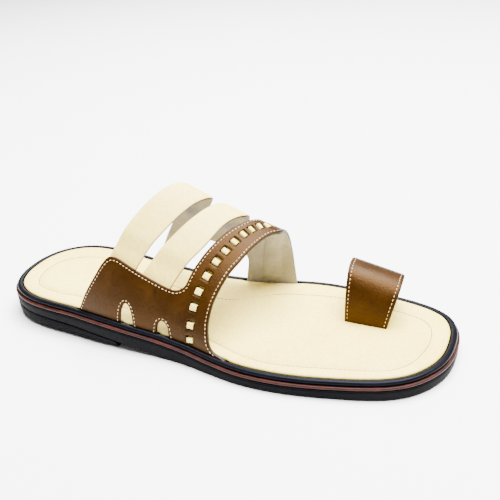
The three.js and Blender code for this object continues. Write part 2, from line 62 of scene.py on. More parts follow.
# %% Sizes of the sole
HEEL_HEIGHT = 19.8       # insole edge above the ground at the heel
BALL_HEIGHT = 10.6       # insole edge above the ground at the ball of the foot
TOE_SPRING = 1.2         # how far the toe end rises
SOLE_OVERHANG = 5.5      # welt and outsole beyond the insole edge
BREAST_Y = -50           # front face of the heel block
HEEL_TIP = (-1.2, -137.5)
TOE_TIP = (-5.5, 137.5)
INSOLE_ROWS = [          # y, lateral x, medial x of the insole edge
    (-136.5, 9.6, -12.4), (-132, 20.6, -24.2), (-124, 27.9, -33.1), (-114, 32.4, -38.1),
    (-100, 35.1, -39.3), (-82, 36.9, -37.1), (-62, 39.1, -34.2), (-42, 40.1, -32.8),
    (-22, 40.5, -34.0), (-2, 42.7, -37.8), (16, 46.8, -42.9), (34, 50.2, -48.1),
    (52, 50.8, -50.8), (70, 48.9, -50.2), (86, 45.7, -48.5), (100, 42.3, -46.0),
    (113, 37.7, -42.5), (123, 31.1, -38.3), (131, 21.0, -32.0), (136, 8.9, -21.3),
]
UNDERSIDE_ROWS = [       # y, height of the outsole's underside
    (-150, 9.0), (-95, 8.6), (-70, 7.2), (-50, 4.8), (-32, 1.9), (-14, 0), (96, 0), (120, 0.3),
    (150, TOE_SPRING),
]
STITCH_LINE_ROWS = [     # y, lateral x, medial x of the line sewn through the padded insole
    (-124, 13.5, -11.5), (-118, 21.6, -18.6), (-108, 25.0, -23.6), (-98, 26.3, -24.6),
    (-84, 26.0, -21.5), (-60, 26.6, -14.5), (-35, 28.5, -9.8), (-8, 31.6, -9.2),
    (6, 34.2, -13.0), (17, 37.6, -21.6), (29, 41.6, -30.4), (46, 44.3, -34.9),
    (64, 42.3, -37.6), (84, 38.2, -35.5), (102, 34.6, -31.8), (113, 30.6, -28.6),
    (121, 22.7, -24.4), (126, 9.9, -16.9),
]
STITCH_LINE_HEEL = (1.2, -126.4)
STITCH_LINE_TOE = (-4.0, 127.8)

# %% Sizes of the uppers
LEATHER = 2.0            # lined brown upper
STRAP = 1.6              # lined cream straps
RIBBON = 0.8             # cream ribbon woven through the band
LOOP = 2.2               # lined toe loop
FLAT = 180               # millimetres of flat pattern for one trip over the foot
TUCK = 0.0085            # margin tucked in beside the insole
EDGE_GAP = 1.7           # the upper stands this far outside the insole edge
LAST_POWER = 1.6         # section of the last: 2 would be an ellipse, less is more peaked
CREST_SHIFT = 17         # how far the crest leans to the inner side
LAST_START, LAST_STEP = -10, 60            # y where the height is taken, and the step along y
LAST_HEIGHT, LAST_FALL, LAST_EASE = 66.2, 21.3, 0.8    # height there, its fall and its easing

# Outline of the brown upper on the last as t over the foot, from 0 at the lateral edge of the
# insole to 1 at the medial edge, and y along it
LATERAL_REAR = [
    (-TUCK, -77.2), (0.012, -76.5), (0.052, -73), (0.082, -69.5), (0.112, -65.5),
    (0.143, -61.5), (0.162, -58.5), (0.172, -55.8), (0.176, -51),
]
LATERAL_TOP = [
    (0.17, -42.5), (0.165, -35.5), (0.161, -29), (0.158, -22.5), (0.157, -17), (0.16, -12.5),
    (0.17, -9), (0.184, -6.8), (0.21, -5.3),
]
BAND_REAR = [
    (0.238, -3.5), (0.283, 0), (0.325, 3.6), (0.367, 7.2), (0.41, 11), (0.45, 14.2),
    (0.49, 16.6), (0.53, 18), (0.57, 18.4), (0.61, 17.9), (0.65, 16.8), (0.69, 14.8), (0.72, 13),
    (0.75, 10.8), (0.773, 8.6), (0.786, 5.6),
]
MEDIAL_TOP = [
    (0.792, 1.5), (0.793, -7), (0.793, -15.5), (0.792, -23), (0.789, -30), (0.788, -36),
    (0.792, -39.6),
]
MEDIAL_REAR = [
    (0.802, -42), (0.816, -43.4), (0.834, -45.2), (0.88, -50.2), (0.922, -54.2), (0.96, -56.8),
    (1, -58.2), (1 + TUCK, -58.6),
]
MEDIAL_OPENING = [
    (1 + TUCK, -43.5), (0.972, -43.3), (0.933, -42.2), (0.893, -39.3), (0.862, -34.5),
    (0.848, -27.5), (0.845, -19), (0.845, -9), (0.849, -2), (0.862, 2), (0.885, 3.6),
    (0.91, 3.5), (0.95, 2.5), (1 + TUCK, 1.6),
]
BAND_FRONT = [
    (1 + TUCK, 34), (0.985, 33.3), (0.93, 32.8), (0.88, 32.5), (0.83, 32.5), (0.78, 32.6),
    (0.73, 32.9), (0.68, 33.4), (0.63, 34), (0.58, 34.6), (0.54, 34.8), (0.508, 34),
    (0.478, 32.2), (0.445, 29.8), (0.4, 26.8), (0.355, 23.6), (0.31, 20.5), (0.27, 17.2),
    (0.218, 14), (0.173, 11.9), (0.13, 11.1), (0.095, 11.4), (0.048, 13), (0.02, 16),
    (0.006, 20), (-TUCK, 24),
]
FRONT_ARCH = [
    (-TUCK, -14), (0.01, -14.2), (0.04, -15), (0.055, -16.5), (0.06, -18.7), (0.055, -20.8),
    (0.04, -22.2), (0.01, -22.9), (-TUCK, -23),
]
REAR_ARCH = [
    (-TUCK, -38.4), (0.01, -38.5), (0.045, -39.2), (0.067, -40.7), (0.0755, -43),
    (0.067, -45.2), (0.045, -46.7), (0.01, -47.4), (-TUCK, -47.5),
]

# %% Sizes of the ribbon, the straps and the toe loop
RIBBON_ROWS = [          # t, y of the ribbon's middle
    (0.005, 0.8), (0.05, 0), (0.095, 0), (0.14, 0.5), (0.185, 2), (0.232, 4.7), (0.278, 7.8),
    (0.318, 11), (0.358, 14.1), (0.398, 17.1), (0.435, 20), (0.475, 23), (0.515, 25.3),
    (0.56, 26.5), (0.61, 26.7), (0.67, 25.8), (0.73, 24), (0.8, 21.2), (0.87, 19.2), (0.93, 18),
    (0.99, 17.3),
]
WINDOW_ROWS = [          # t of a window's middle, its length along the band
    (0.032, 5.2), (0.085, 5.8), (0.14, 5.9), (0.185, 5.9), (0.232, 5.9), (0.278, 5.6),
    (0.318, 5.2), (0.358, 5), (0.398, 4.6), (0.435, 4.3), (0.477, 4.3), (0.532, 4.6),
    (0.594, 4.8), (0.652, 4.8), (0.708, 4.8), (0.76, 4.8), (0.812, 4.8), (0.865, 4.8),
    (0.918, 4.8),
]
WINDOW_WIDTH, RIBBON_WIDTH = 4.8, 4.2
REAR_STRAP_ROWS = [      # t, y of the rear edge, y of the front edge
    (0.12, -62, -43.5), (0.2, -54, -36), (0.3, -43.5, -24.8), (0.4, -34, -15.8),
    (0.5, -27, -9.2), (0.6, -27.2, -10.2), (0.7, -32.6, -16), (0.79, -39.6, -23),
    (0.815, -41, -25),
]
FRONT_STRAP_ROWS = [
    (0.12, -39.5, -19.5), (0.2, -30.6, -12.8), (0.3, -19, -1.6), (0.4, -9.5, 5.2),
    (0.5, -3.2, 11.8), (0.6, -3.2, 12.3), (0.7, -8.5, 8.2), (0.79, -15, 2.5),
    (0.815, -16.8, 0.7),
]
LOOP_EDGES = [           # lateral x, medial x, lateral y, medial y, height, lean
    (-9.6, -46.4, 76.7, 72.8, 31.4, -0.6), (-8.0, -43.8, 101.9, 98.3, 24.6, 6.3),
]
LOOP_POWER = 2.4
print("windows in the band:", len(WINDOW_ROWS))

# %% [markdown]
# ## The sandal's own shapes as functions
#
# A last maker thinks in sections and smooth curves, so the shapes here are functions: the height
# of the insole edge along the shoe, its outline from above, and the surface of the last over the
# instep. A few table rows with smooth interpolation follow them better than copied points would,
# and each piece can then be sampled as finely as it needs.

# %% Smooth steps and tables
def smooth(start, end, value):
    s = min(max((value - start) / (end - start), 0.0), 1.0)
    return s * s * (3 - 2 * s)


def look_up(rows, column, at):
    """A cubic through table rows, with the slopes of the neighbouring rows."""
    if at <= rows[0][0]:
        return rows[0][column]
    if at >= rows[-1][0]:
        return rows[-1][column]
    i = 0
    while rows[i + 1][0] < at:
        i += 1

    def slope(k):
        a, b = rows[max(k - 1, 0)], rows[min(k + 1, len(rows) - 1)]
        return (b[column] - a[column]) / (b[0] - a[0])

    width = rows[i + 1][0] - rows[i][0]
    s = (at - rows[i][0]) / width
    s2, s3 = s * s, s * s * s
    return (rows[i][column] * (2 * s3 - 3 * s2 + 1) + rows[i + 1][column] * (3 * s2 - 2 * s3)
            + width * (slope(i) * (s3 - 2 * s2 + s) + slope(i + 1) * (s3 - s2)))


def edge_height(y):
    return (BALL_HEIGHT + (HEEL_HEIGHT - BALL_HEIGHT) * (1 - smooth(-90, 38, y))
            + TOE_SPRING * smooth(60, 145, y))


def underside(y):
    return 0.0 if -14 < y < 96 else max(0.0, look_up(UNDERSIDE_ROWS, 1, y))


print("insole edge height at heel, waist and ball:",
      [round(edge_height(y), 1) for y in (-120, -30, 60)])

# %% Closed outlines seen from above
def closed_curve(points, per_span=20):
    """A closed centripetal Catmull-Rom curve through points seen from above."""
    n, made = len(points), []
    for k in range(n):
        p = [points[(k + d) % n] for d in (-1, 0, 1, 2)]
        step = [max(math.dist(p[j], p[j + 1]), 1e-6) ** 0.5 for j in range(3)]
        for i in range(per_span):
            w, spot = i / per_span, []
            for axis in (0, 1):
                x0, x1, x2, x3 = (q[axis] for q in p)
                a = ((x1 - x0) / step[0] - (x2 - x0) / (step[0] + step[1])
                     + (x2 - x1) / step[1]) * step[1]
                b = ((x2 - x1) / step[1] - (x3 - x1) / (step[1] + step[2])
                     + (x3 - x2) / step[2]) * step[1]
                spot.append(x1 + a * w + (-3 * x1 + 3 * x2 - 2 * a - b) * w * w
                            + (2 * x1 - 2 * x2 + a + b) * w ** 3)
            made.append(tuple(spot))
    return made


def outline_of(heel, rows, toe):
    return closed_curve([heel] + [(r[1], r[0]) for r in rows] + [toe]
                        + [(r[2], r[0]) for r in reversed(rows)])


def sides_of(outline):
    """The lateral and the medial half of an outline, each from heel to toe."""
    n = len(outline)
    toe = max(range(n), key=lambda i: outline[i][1])
    heel = min(range(n), key=lambda i: outline[i][1])
    lateral = [outline[(heel + i) % n] for i in range((toe - heel) % n + 1)]
    medial = [outline[(heel - i) % n] for i in range((heel - toe) % n + 1)]
    return lateral, medial


insole_outline = outline_of(HEEL_TIP, INSOLE_ROWS, TOE_TIP)
LATERAL, MEDIAL = sides_of(insole_outline)
side_ys = {id(LATERAL): [p[1] for p in LATERAL], id(MEDIAL): [p[1] for p in MEDIAL]}


def side_x(side, y):
    ys = side_ys[id(side)]
    i = min(max(bisect.bisect_left(ys, y), 1), len(ys) - 1)
    a, b = side[i - 1], side[i]
    s = 0 if b[1] == a[1] else min(max((y - a[1]) / (b[1] - a[1]), 0), 1)
    return a[0] + (b[0] - a[0]) * s


print("widest across the insole:",
      round(max(side_x(LATERAL, y) - side_x(MEDIAL, y) for y in range(20, 80)), 1), "mm")

# %% The surface of the last
def last_point(t, y):
    """A point on the outside of the upper: t over the foot, y along it."""
    lateral, medial = side_x(LATERAL, y) + EDGE_GAP, side_x(MEDIAL, y) - EDGE_GAP
    angle = math.pi * min(max(t, 0.0), 1.0)
    reach = (y - LAST_START) / LAST_STEP
    height = LAST_HEIGHT - LAST_FALL * reach + LAST_EASE * reach * reach
    power = 2 / LAST_POWER
    c, s = math.cos(angle), max(math.sin(angle), 0.0)
    x = ((lateral + medial) / 2 + (lateral - medial) / 2 * math.copysign(abs(c) ** power, c)
         - CREST_SHIFT * s * s)
    tucked = t if t < 0 else min(1 - t, 0)
    return Vector((x, y, edge_height(y) + height * s ** power + tucked * FLAT))


def last_normal(t, y):
    over_foot = last_point(t + 0.004, y) - last_point(t - 0.004, y)
    along_foot = last_point(t, y + 0.5) - last_point(t, y - 0.5)
    return along_foot.cross(over_foot).normalized()


def on_last(t, y, depth):
    return last_point(t, y) - last_normal(t, y) * depth


print("top of the instep:", round(max(last_point(t / 40, -10).z for t in range(41)), 1), "mm")

# %% [markdown]
# ## Colours and one helper for shader nodes
#
# Colours are noted as sRGB hex values, as a colour picker gives them, and turned to linear
# light once, here. One helper adds a node with its settings and links, so that a material reads
# like a recipe.

# %% Colour and node helpers
def linear(hex_value):
    channels = [int(hex_value[i:i + 2], 16) / 255 for i in (1, 3, 5)]
    return [c / 12.92 if c <= 0.04045 else ((c + 0.055) / 1.055) ** 2.4 for c in channels] + [1]


def add_node(tree, kind, settings=None, links=None):
    made = tree.nodes.new(kind)
    for name, value in (settings or {}).items():
        setattr(made, name, value)
    for name, value in (links or {}).items():
        if isinstance(value, bpy.types.NodeSocket):
            tree.links.new(value, made.inputs[name])
        else:
            made.inputs[name].default_value = value
    return made


def new_material(name):
    material = bpy.data.materials.new(name)
    material.use_nodes = True
    material.node_tree.nodes.clear()
    return material, material.node_tree


# %% [markdown]
# ## Leather
#
# Leather is dyed or painted skin. Its surface shows fine pores, soft cloudy changes of tone and
# small creases, and the wax or paint on top gives a soft gloss. One recipe makes each leather of
# the sandal: a Voronoi pattern is the grain, a slow noise is the cloudiness, and a stretched
# noise is the creasing. The grain of calf leather is 0.2 to 0.5 mm wide, too fine to show here,
# so it is drawn about twice as coarse.

# %% The leather recipe
def leather(name, colour, shade, light, roughness, grain_mm=0.9, cloud_mm=16.0, relief_mm=0.10,
            crease=0.5, rim=None, gloss=0.5, glint="#ffffff"):
    material, tree = new_material(name)
    place = add_node(tree, "ShaderNodeTexCoord").outputs["Object"]
    cloud = add_node(tree, "ShaderNodeTexNoise", None, {
        "Vector": place, "Scale": 1000 / cloud_mm, "Detail": 5.0, "Roughness": 0.62,
        "Distortion": 0.4})
    tone = add_node(tree, "ShaderNodeValToRGB", None, {"Fac": cloud.outputs["Fac"]})
    stops = tone.color_ramp.elements
    stops[0].position, stops[0].color = 0.3, linear(shade)
    stops[1].position, stops[1].color = 0.74, linear(light)
    middle = stops.new(0.5)
    middle.color = linear(colour)
    paint = tone.outputs["Color"]
    speck = add_node(tree, "ShaderNodeTexNoise", None, {
        "Vector": place, "Scale": 1000 / 2.2, "Detail": 3.0})
    spots = add_node(tree, "ShaderNodeMapRange", None, {
        "Value": speck.outputs["Fac"], "From Min": 0.35, "From Max": 0.7,
        "To Min": 0.9, "To Max": 1.06})
    paint = add_node(tree, "ShaderNodeVectorMath", {"operation": "SCALE"}, {
        0: paint, "Scale": spots.outputs["Result"]}).outputs["Vector"]
    if rim:
        edge = add_node(tree, "ShaderNodeAttribute", {"attribute_name": "rim"})
        mixed = add_node(tree, "ShaderNodeMix", {"data_type": "RGBA"}, {
            0: edge.outputs["Fac"], 6: paint, 7: linear(rim)})
        paint = mixed.outputs[2]
    grain = add_node(tree, "ShaderNodeTexVoronoi", {"feature": "SMOOTH_F1"}, {
        "Vector": place, "Scale": 1000 / grain_mm, "Smoothness": 0.6})
    stretched = add_node(tree, "ShaderNodeMapping", None, {
        "Vector": place, "Scale": (0.5, 1.0, 0.8)})
    creases = add_node(tree, "ShaderNodeTexNoise", None, {
        "Vector": stretched.outputs["Vector"], "Scale": 1000 / 5.5, "Detail": 6.0,
        "Roughness": 0.6, "Distortion": 0.8})
    relief = add_node(tree, "ShaderNodeMath", {"operation": "MULTIPLY_ADD"}, {
        0: creases.outputs["Fac"], 1: crease * 3, 2: grain.outputs["Distance"]})
    bump = add_node(tree, "ShaderNodeBump", None, {
        "Strength": 0.7, "Distance": relief_mm / 1000, "Height": relief.outputs["Value"]})
    polish = add_node(tree, "ShaderNodeMapRange", None, {
        "Value": cloud.outputs["Fac"], "From Min": 0.3, "From Max": 0.7,
        "To Min": roughness - 0.06, "To Max": roughness + 0.08})
    shader = add_node(tree, "ShaderNodeBsdfPrincipled", None, {
        "Base Color": paint, "Roughness": polish.outputs["Result"], "IOR": 1.48,
        "Specular IOR Level": gloss, "Specular Tint": linear(glint),
        "Normal": bump.outputs["Normal"]})
    add_node(tree, "ShaderNodeOutputMaterial", None, {"Surface": shader.outputs["BSDF"]})
    return material


# Waxed full-grain calf: deep brown, cloudy, burnished darker at the edges, with a warm glint
brown_leather = leather("waxed_brown_calf", "#261300", "#1e0d00", "#311a01", 0.44,
                        cloud_mm=18.0, relief_mm=0.16, rim="#120700", gloss=0.26, glint="#f0b878")
# Painted cream calf: smooth, semi-gloss, with a faint warm patina
cream_leather = leather("painted_cream_calf", "#f8de76", "#f4d76b", "#fae485", 0.42,
                        cloud_mm=30.0, relief_mm=0.05, crease=0.35, rim="#b08a45", gloss=0.3)
# Soft sheep leather over foam: matt and warm cream
insole_leather = leather("soft_cream_sheepskin", "#f9df72", "#f4d66a", "#fbe682", 0.5,
                         cloud_mm=34.0, relief_mm=0.07, crease=0.6, gloss=0.2)
# Undyed pigskin lining: grey-beige with an open grain
lining_leather = leather("pigskin_lining", "#8d898c", "#7e7a7d", "#9d999b", 0.66, grain_mm=1.3)
# Black wrapped rim: thin calf pulled tight, with a soft cool highlight
rim_leather = leather("wrapped_black_calf", "#06060b", "#040408", "#0b0b12", 0.36,
                      relief_mm=0.07, crease=0.6, gloss=0.1, glint="#9fa6bb")
# Reddish vegetable-tanned welt: waxed cut edge, darker pores
welt_leather = leather("waxed_welt_leather", "#2c0b05", "#1a0502", "#3d150a", 0.45,
                       cloud_mm=7.0, relief_mm=0.08, crease=1.0, gloss=0.15)
# The raw cut edge of brown leather, inked dark
edge_ink = leather("inked_cut_edge", "#180c04", "#100702", "#241307", 0.6, crease=1.2)
# The painted edge of the cream straps: a thin dark line
strap_edge = leather("inked_strap_edge", "#33210e", "#241607", "#453016", 0.55, crease=0.8)
print("leathers:", [m.name for m in bpy.data.materials])

# %% [markdown]
# ## Rubber and thread
#
# The outsole and heel are moulded black rubber, matt with a very fine speckle from the mould.
# The thread is waxed polyester, pale cream on the upper and tan on the insole: two plies twisted,
# so it has a soft shine and a faint diagonal line, drawn as darker bands: painted shade in the
# groove between the plies.

# %% Rubber and thread materials
def moulded_rubber(name):
    material, tree = new_material(name)
    place = add_node(tree, "ShaderNodeTexCoord").outputs["Object"]
    # mould grit is about 0.1 mm; drawn at 0.6 mm so that it shows
    grit = add_node(tree, "ShaderNodeTexNoise", None, {
        "Vector": place, "Scale": 1000 / 0.6, "Detail": 4.0, "Roughness": 0.7})
    dust = add_node(tree, "ShaderNodeTexNoise", None, {
        "Vector": place, "Scale": 1000 / 22, "Detail": 4.0})
    colour = add_node(tree, "ShaderNodeValToRGB", None, {"Fac": dust.outputs["Fac"]})
    colour.color_ramp.elements[0].position = 0.35
    colour.color_ramp.elements[0].color = linear("#030305")
    colour.color_ramp.elements[1].position = 0.75
    colour.color_ramp.elements[1].color = linear("#0a0a0d")
    bump = add_node(tree, "ShaderNodeBump", None, {
        "Strength": 0.5, "Distance": 0.00008, "Height": grit.outputs["Fac"]})
    shader = add_node(tree, "ShaderNodeBsdfPrincipled", None, {
        "Base Color": colour.outputs["Color"], "Roughness": 0.68, "IOR": 1.52,
        "Specular IOR Level": 0.05, "Normal": bump.outputs["Normal"]})
    add_node(tree, "ShaderNodeOutputMaterial", None, {"Surface": shader.outputs["BSDF"]})
    return material


def waxed_thread(name, colour, shade):
    material, tree = new_material(name)
    place = add_node(tree, "ShaderNodeTexCoord").outputs["Object"]
    # the twist repeats every 0.7 mm, drawn as fine diagonal bands; the darker bands are painted
    # shade in the grooves between the plies
    ply_groove_shade = add_node(tree, "ShaderNodeTexWave", {"bands_direction": "DIAGONAL"}, {
        "Vector": place, "Scale": 1000 / 0.7 / 6.283, "Distortion": 1.0})
    paint = add_node(tree, "ShaderNodeMix", {"data_type": "RGBA"}, {
        0: ply_groove_shade.outputs["Fac"], 6: linear(shade), 7: linear(colour)})
    shader = add_node(tree, "ShaderNodeBsdfPrincipled", None, {
        "Base Color": paint.outputs[2], "Roughness": 0.5, "Sheen Weight": 0.2})
    add_node(tree, "ShaderNodeOutputMaterial", None, {"Surface": shader.outputs["BSDF"]})
    return material


black_rubber = moulded_rubber("moulded_black_rubber")
pale_thread = waxed_thread("waxed_cream_thread", "#f0d4a8", "#c8a678")
insole_thread = waxed_thread("fine_tan_thread", "#7d6234", "#5c4522")
# each needle hole is a small bead of black rubber: painted shade for the hole's dark inside
needle_hole_shade = moulded_rubber("painted_needle_hole_shade")

# %% [markdown]
# ## Mesh helpers
#
# Every piece is a closed skin. Points are worked out in millimetres and stored in metres. The
# first helper makes a smooth-shaded object from points and faces, with a material number for
# each face and, where wanted, a "rim" value for each point that tells the leather how close it
# is to a cut edge.

# %% Make an object
def make_piece(name, points, faces, materials, indices=None, rim=None):
    mesh = bpy.data.meshes.new(name)
    mesh.from_pydata([tuple(c / 1000 for c in p) for p in points], [], faces)
    for material in materials:
        mesh.materials.append(material)
    if indices:
        mesh.polygons.foreach_set("material_index", indices)
    mesh.polygons.foreach_set("use_smooth", [True] * len(mesh.polygons))
    if rim is not None:
        layer = mesh.attributes.new("rim", "FLOAT", "POINT")
        layer.data.foreach_set("value", rim)
    mesh.update()
    piece = bpy.data.objects.new(name, mesh)
    bpy.context.scene.collection.objects.link(piece)
    return piece


def dress(piece, node):
    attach(piece, "root")
    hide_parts(node)
    print(piece.name, "stands for", node, "-", len(piece.data.polygons), "faces")


# %% A lined sheet from a grid
def lined_sheet(name, grid, materials, node):
    """Grid rows of (outer, inner, rim); materials are outside, lining and edge."""
    rows, columns = len(grid), len(grid[0])
    points = [cell[0] for row in grid for cell in row] + [cell[1] for row in grid for cell in row]
    rim = [cell[2] for row in grid for cell in row] * 2
    faces, indices = [], []

    def at(side, i, j):
        return side * rows * columns + i * columns + j

    def quad(index, *corners):
        faces.append(corners)
        indices.append(index)

    for i in range(rows - 1):
        for j in range(columns - 1):
            quad(0, at(0, i, j), at(0, i, j + 1), at(0, i + 1, j + 1), at(0, i + 1, j))
            quad(1, at(1, i, j), at(1, i + 1, j), at(1, i + 1, j + 1), at(1, i, j + 1))
        end = columns - 1
        quad(2, at(0, i, 0), at(0, i + 1, 0), at(1, i + 1, 0), at(1, i, 0))
        quad(2, at(0, i + 1, end), at(0, i, end), at(1, i, end), at(1, i + 1, end))
    for j in range(columns - 1):
        end = rows - 1
        quad(2, at(0, 0, j + 1), at(0, 0, j), at(1, 0, j), at(1, 0, j + 1))
        quad(2, at(0, end, j), at(0, end, j + 1), at(1, end, j + 1), at(1, end, j))
    piece = make_piece(name, points, faces, materials, indices, rim)
    dress(piece, node)
    return piece


# %% [markdown]
# ## The layers of the sole
#
# A sole is a stack of sheets cut to one outline and trimmed together. Each layer here is a
# profile carried around the insole edge: every row of the profile says how far out from the edge
# it runs and how high. 300 stations around the shoe keep the curves at heel and toe round.

# %% Stations around the shoe
SIDE_STEPS = 150
station_ys = [-137.5 + 137.5 * (1 - math.cos(math.pi * k / SIDE_STEPS))
              for k in range(SIDE_STEPS + 1)]
ring_base = ([(LATERAL, station_ys[k]) for k in range(SIDE_STEPS + 1)]
             + [(MEDIAL, station_ys[k]) for k in range(SIDE_STEPS - 1, 0, -1)])
RING = len(ring_base)


def edge_frame(side, y):
    """The insole edge at y with the direction out of the shoe."""
    x = side_x(side, y)
    near = min(range(len(insole_outline)),
               key=lambda i: (insole_outline[i][0] - x) ** 2 + (insole_outline[i][1] - y) ** 2)
    a = insole_outline[(near - 3) % len(insole_outline)]
    b = insole_outline[(near + 3) % len(insole_outline)]
    length = math.dist(a, b)
    return x, (b[1] - a[1]) / length, -(b[0] - a[0]) / length


edge_frames = [(side, y) + edge_frame(side, y) for side, y in ring_base]

# the stretches of the insole edge where the upper's margins go down beside it
MARGINS = {"lateral": [(-77.3, -47.3), (-38.6, -22.8), (-14.2, 24.1)],
           "medial": [(-58.7, -43.3), (1.7, 34.1)]}


def beside_upper(side, y):
    runs = MARGINS["lateral" if side is LATERAL else "medial"]
    return max(smooth(a - 2.5, a - 0.6, y) * (1 - smooth(b + 0.6, b + 2.5, y)) for a, b in runs)


def carry_profile(profile):
    """One row of points for each step of the profile; both values may follow the shoe."""
    rows = []
    for out, height in profile:
        row = []
        for side, y, x, out_x, out_y in edge_frames:
            reach = out(side, y) if callable(out) else out
            spot_y = y + out_y * reach
            row.append((x + out_x * reach, spot_y, height(spot_y)))
        rows.append(row)
    return rows


def above(offset):
    return lambda y: edge_height(y) + offset


# %% A closed layer of the sole
def sole_layer(rows, frame_like=False):
    points = [p for row in rows for p in row]
    faces = []

    def at(r, i):
        return (r % len(rows)) * RING + i % RING

    for r in range(len(rows) - (0 if frame_like else 1)):
        for i in range(RING):
            faces.append((at(r, i), at(r, i + 1), at(r + 1, i + 1), at(r + 1, i)))
    if not frame_like:
        for k in range(SIDE_STEPS):
            lateral, medial = (k, k + 1), ((RING - k) % RING, RING - k - 1)
            for r, up in ((0, False), (len(rows) - 1, True)):
                corners = [at(r, i) for i in (lateral[0], lateral[1], medial[1], medial[0])]
                corners = [v for n, v in enumerate(corners) if v != corners[(n + 1) % 4]]
                faces.append(tuple(corners if up else reversed(corners)))
    return points, faces


# %% [markdown]
# ## Outsole and heel
#
# The outsole is one sheet of black rubber that bends down from the heel over the waist. Its side
# is trimmed upright with softly broken edges, and a fine scored line runs around it where the
# trimming iron was set. The heel is a block of the same rubber, cut off square in front.

# %% Outsole
outsole_rows = carry_profile([
    (SOLE_OVERHANG - 1.6, underside),
    (SOLE_OVERHANG - 0.9, lambda y: underside(y) + 0.05),
    (SOLE_OVERHANG - 0.35, lambda y: underside(y) + 0.35),
    (SOLE_OVERHANG - 0.1, lambda y: underside(y) + 0.9),
    (SOLE_OVERHANG, above(-6.6)), (SOLE_OVERHANG, above(-5.95)),
    (SOLE_OVERHANG - 0.3, above(-5.75)), (SOLE_OVERHANG - 0.02, above(-5.5)),
    (SOLE_OVERHANG - 0.1, above(-5.1)), (SOLE_OVERHANG - 0.5, above(-4.9)),
])
points, faces = sole_layer(outsole_rows)
outsole = make_piece("rubber_outsole", points, faces, [black_rubber])
dress(outsole, "outsole")

# %% Heel block
def heel_top(y):
    return max(underside(y) - 0.3, 3)


heel_rows = carry_profile([
    (1.8, lambda y: 0.0), (2.4, lambda y: 0.05), (3.3, lambda y: 0.35), (4.0, lambda y: 0.9),
    (4.5, lambda y: 1.7), (4.9, lambda y: 2.8), (5.1, lambda y: min(4.6, heel_top(y) - 0.1)),
    (SOLE_OVERHANG - 0.25, lambda y: max(heel_top(y) - 0.35, 2.9)),
    (SOLE_OVERHANG - 0.6, lambda y: heel_top(y)),
])
points, faces = sole_layer(heel_rows)
heel = make_piece("rubber_heel", points, faces, [black_rubber])
block = bmesh.new()
block.from_mesh(heel.data)
cut = bmesh.ops.bisect_plane(block, geom=block.verts[:] + block.edges[:] + block.faces[:],
                             plane_co=(0, BREAST_Y / 1000, 0), plane_no=(0, 1, 0),
                             clear_outer=True)
rim_edges = [e for e in block.edges if e.is_boundary]
bmesh.ops.holes_fill(block, edges=rim_edges)
for face in block.faces:
    if abs(face.normal.y) > 0.99 or face.calc_area() > 5e-4:
        face.smooth = False
block.to_mesh(heel.data)
block.free()
dress(heel, "heel")

# %% [markdown]
# ## Welt and wrapped rim
#
# The welt is a strip of reddish leather between the outsole and the footbed, seen as a thin
# brown line all around. Above it the footbed's rim is wrapped in black calf. Where the wrap is
# pulled round the heel it gathers in fine pleats, so the rim's reach ripples there.

# %% Welt
welt_rows = carry_profile([
    (-3, above(-4.6)), (SOLE_OVERHANG - 0.5, above(-4.6)), (SOLE_OVERHANG - 0.15, above(-4.5)),
    (SOLE_OVERHANG + 0.1, above(-4.15)), (SOLE_OVERHANG + 0.14, above(-3.75)),
    (SOLE_OVERHANG + 0.1, above(-3.35)), (SOLE_OVERHANG - 0.15, above(-3.0)),
    (SOLE_OVERHANG - 0.5, above(-2.9)), (-3, above(-2.9)),
])
points, faces = sole_layer(welt_rows, frame_like=True)
welt = make_piece("leather_welt", points, faces, [welt_leather])
dress(welt, "welt")

# %% Footbed with its wrapped rim
def pleats(side, y):
    if side is not LATERAL:
        return 0.0
    here = smooth(-104, -96, y) * (1 - smooth(-84, -78, y))
    return 0.16 * here * math.sin(y * 2 * math.pi / 2.6)


def rim_row(out, inner, offset, ripple=0.0):
    """Reach 'out' in the open and 'inner' where the upper goes down beside the insole."""
    return (lambda side, y: out + (inner - out) * beside_upper(side, y) + ripple * pleats(side, y),
            above(offset))


footbed_rows = carry_profile([
    (-3.3, above(-4.6)), (-3.3, above(-2.6)), (3.3, above(-2.6)),
    rim_row(3.8, 3.8, -2.45), rim_row(4.15, 4.15, -2.0, 0.5), rim_row(4.32, 4.32, -1.45, 1.0),
    rim_row(4.22, 4.22, -0.9, 1.2), rim_row(3.85, 3.85, -0.42, 1.2), rim_row(3.3, 3.3, -0.12, 1.0),
    rim_row(2.6, 2.85, 0.0, 0.5), rim_row(1.8, 2.45, -0.03), rim_row(1.1, 2.2, -0.22),
    rim_row(0.65, 2.07, -0.55), rim_row(0.4, 2.02, -1.0), rim_row(0.3, 2.0, -1.5),
    rim_row(0.0, 1.8, -1.85),
])
points, faces = sole_layer(footbed_rows)
footbed = make_piece("wrapped_footbed", points, faces, [rim_leather])
dress(footbed, "footbed")

# %% [markdown]
# ## The padded insole
#
# The insole is soft leather over a thin foam, sewn through along a line that follows the print
# of the foot. The foam swells a little on both sides of that line, and the stitching pulls a
# groove. Rings that run from the edge to the sewn line and on to the middle of the foot follow
# both shapes, which a plain grid would not.

# %% Insole
sewn_outline = outline_of(STITCH_LINE_HEEL, STITCH_LINE_ROWS, STITCH_LINE_TOE)
sewn_sides = sides_of(sewn_outline)


def by_length(side, count):
    """Even steps along one half of an outline, seen from above."""
    run = [0.0]
    for a, b in zip(side, side[1:]):
        run.append(run[-1] + math.dist(a, b))
    made = []
    for k in range(count + 1):
        want = run[-1] * k / count
        i = min(max(bisect.bisect_left(run, want), 1), len(run) - 1)
        s = (want - run[i - 1]) / max(run[i] - run[i - 1], 1e-9)
        made.append(tuple(side[i - 1][a] + (side[i][a] - side[i - 1][a]) * s for a in (0, 1)))
    return made


INSOLE_STEPS = 170


def full_ring(lateral, medial):
    return lateral + list(reversed(medial))[1:-1]


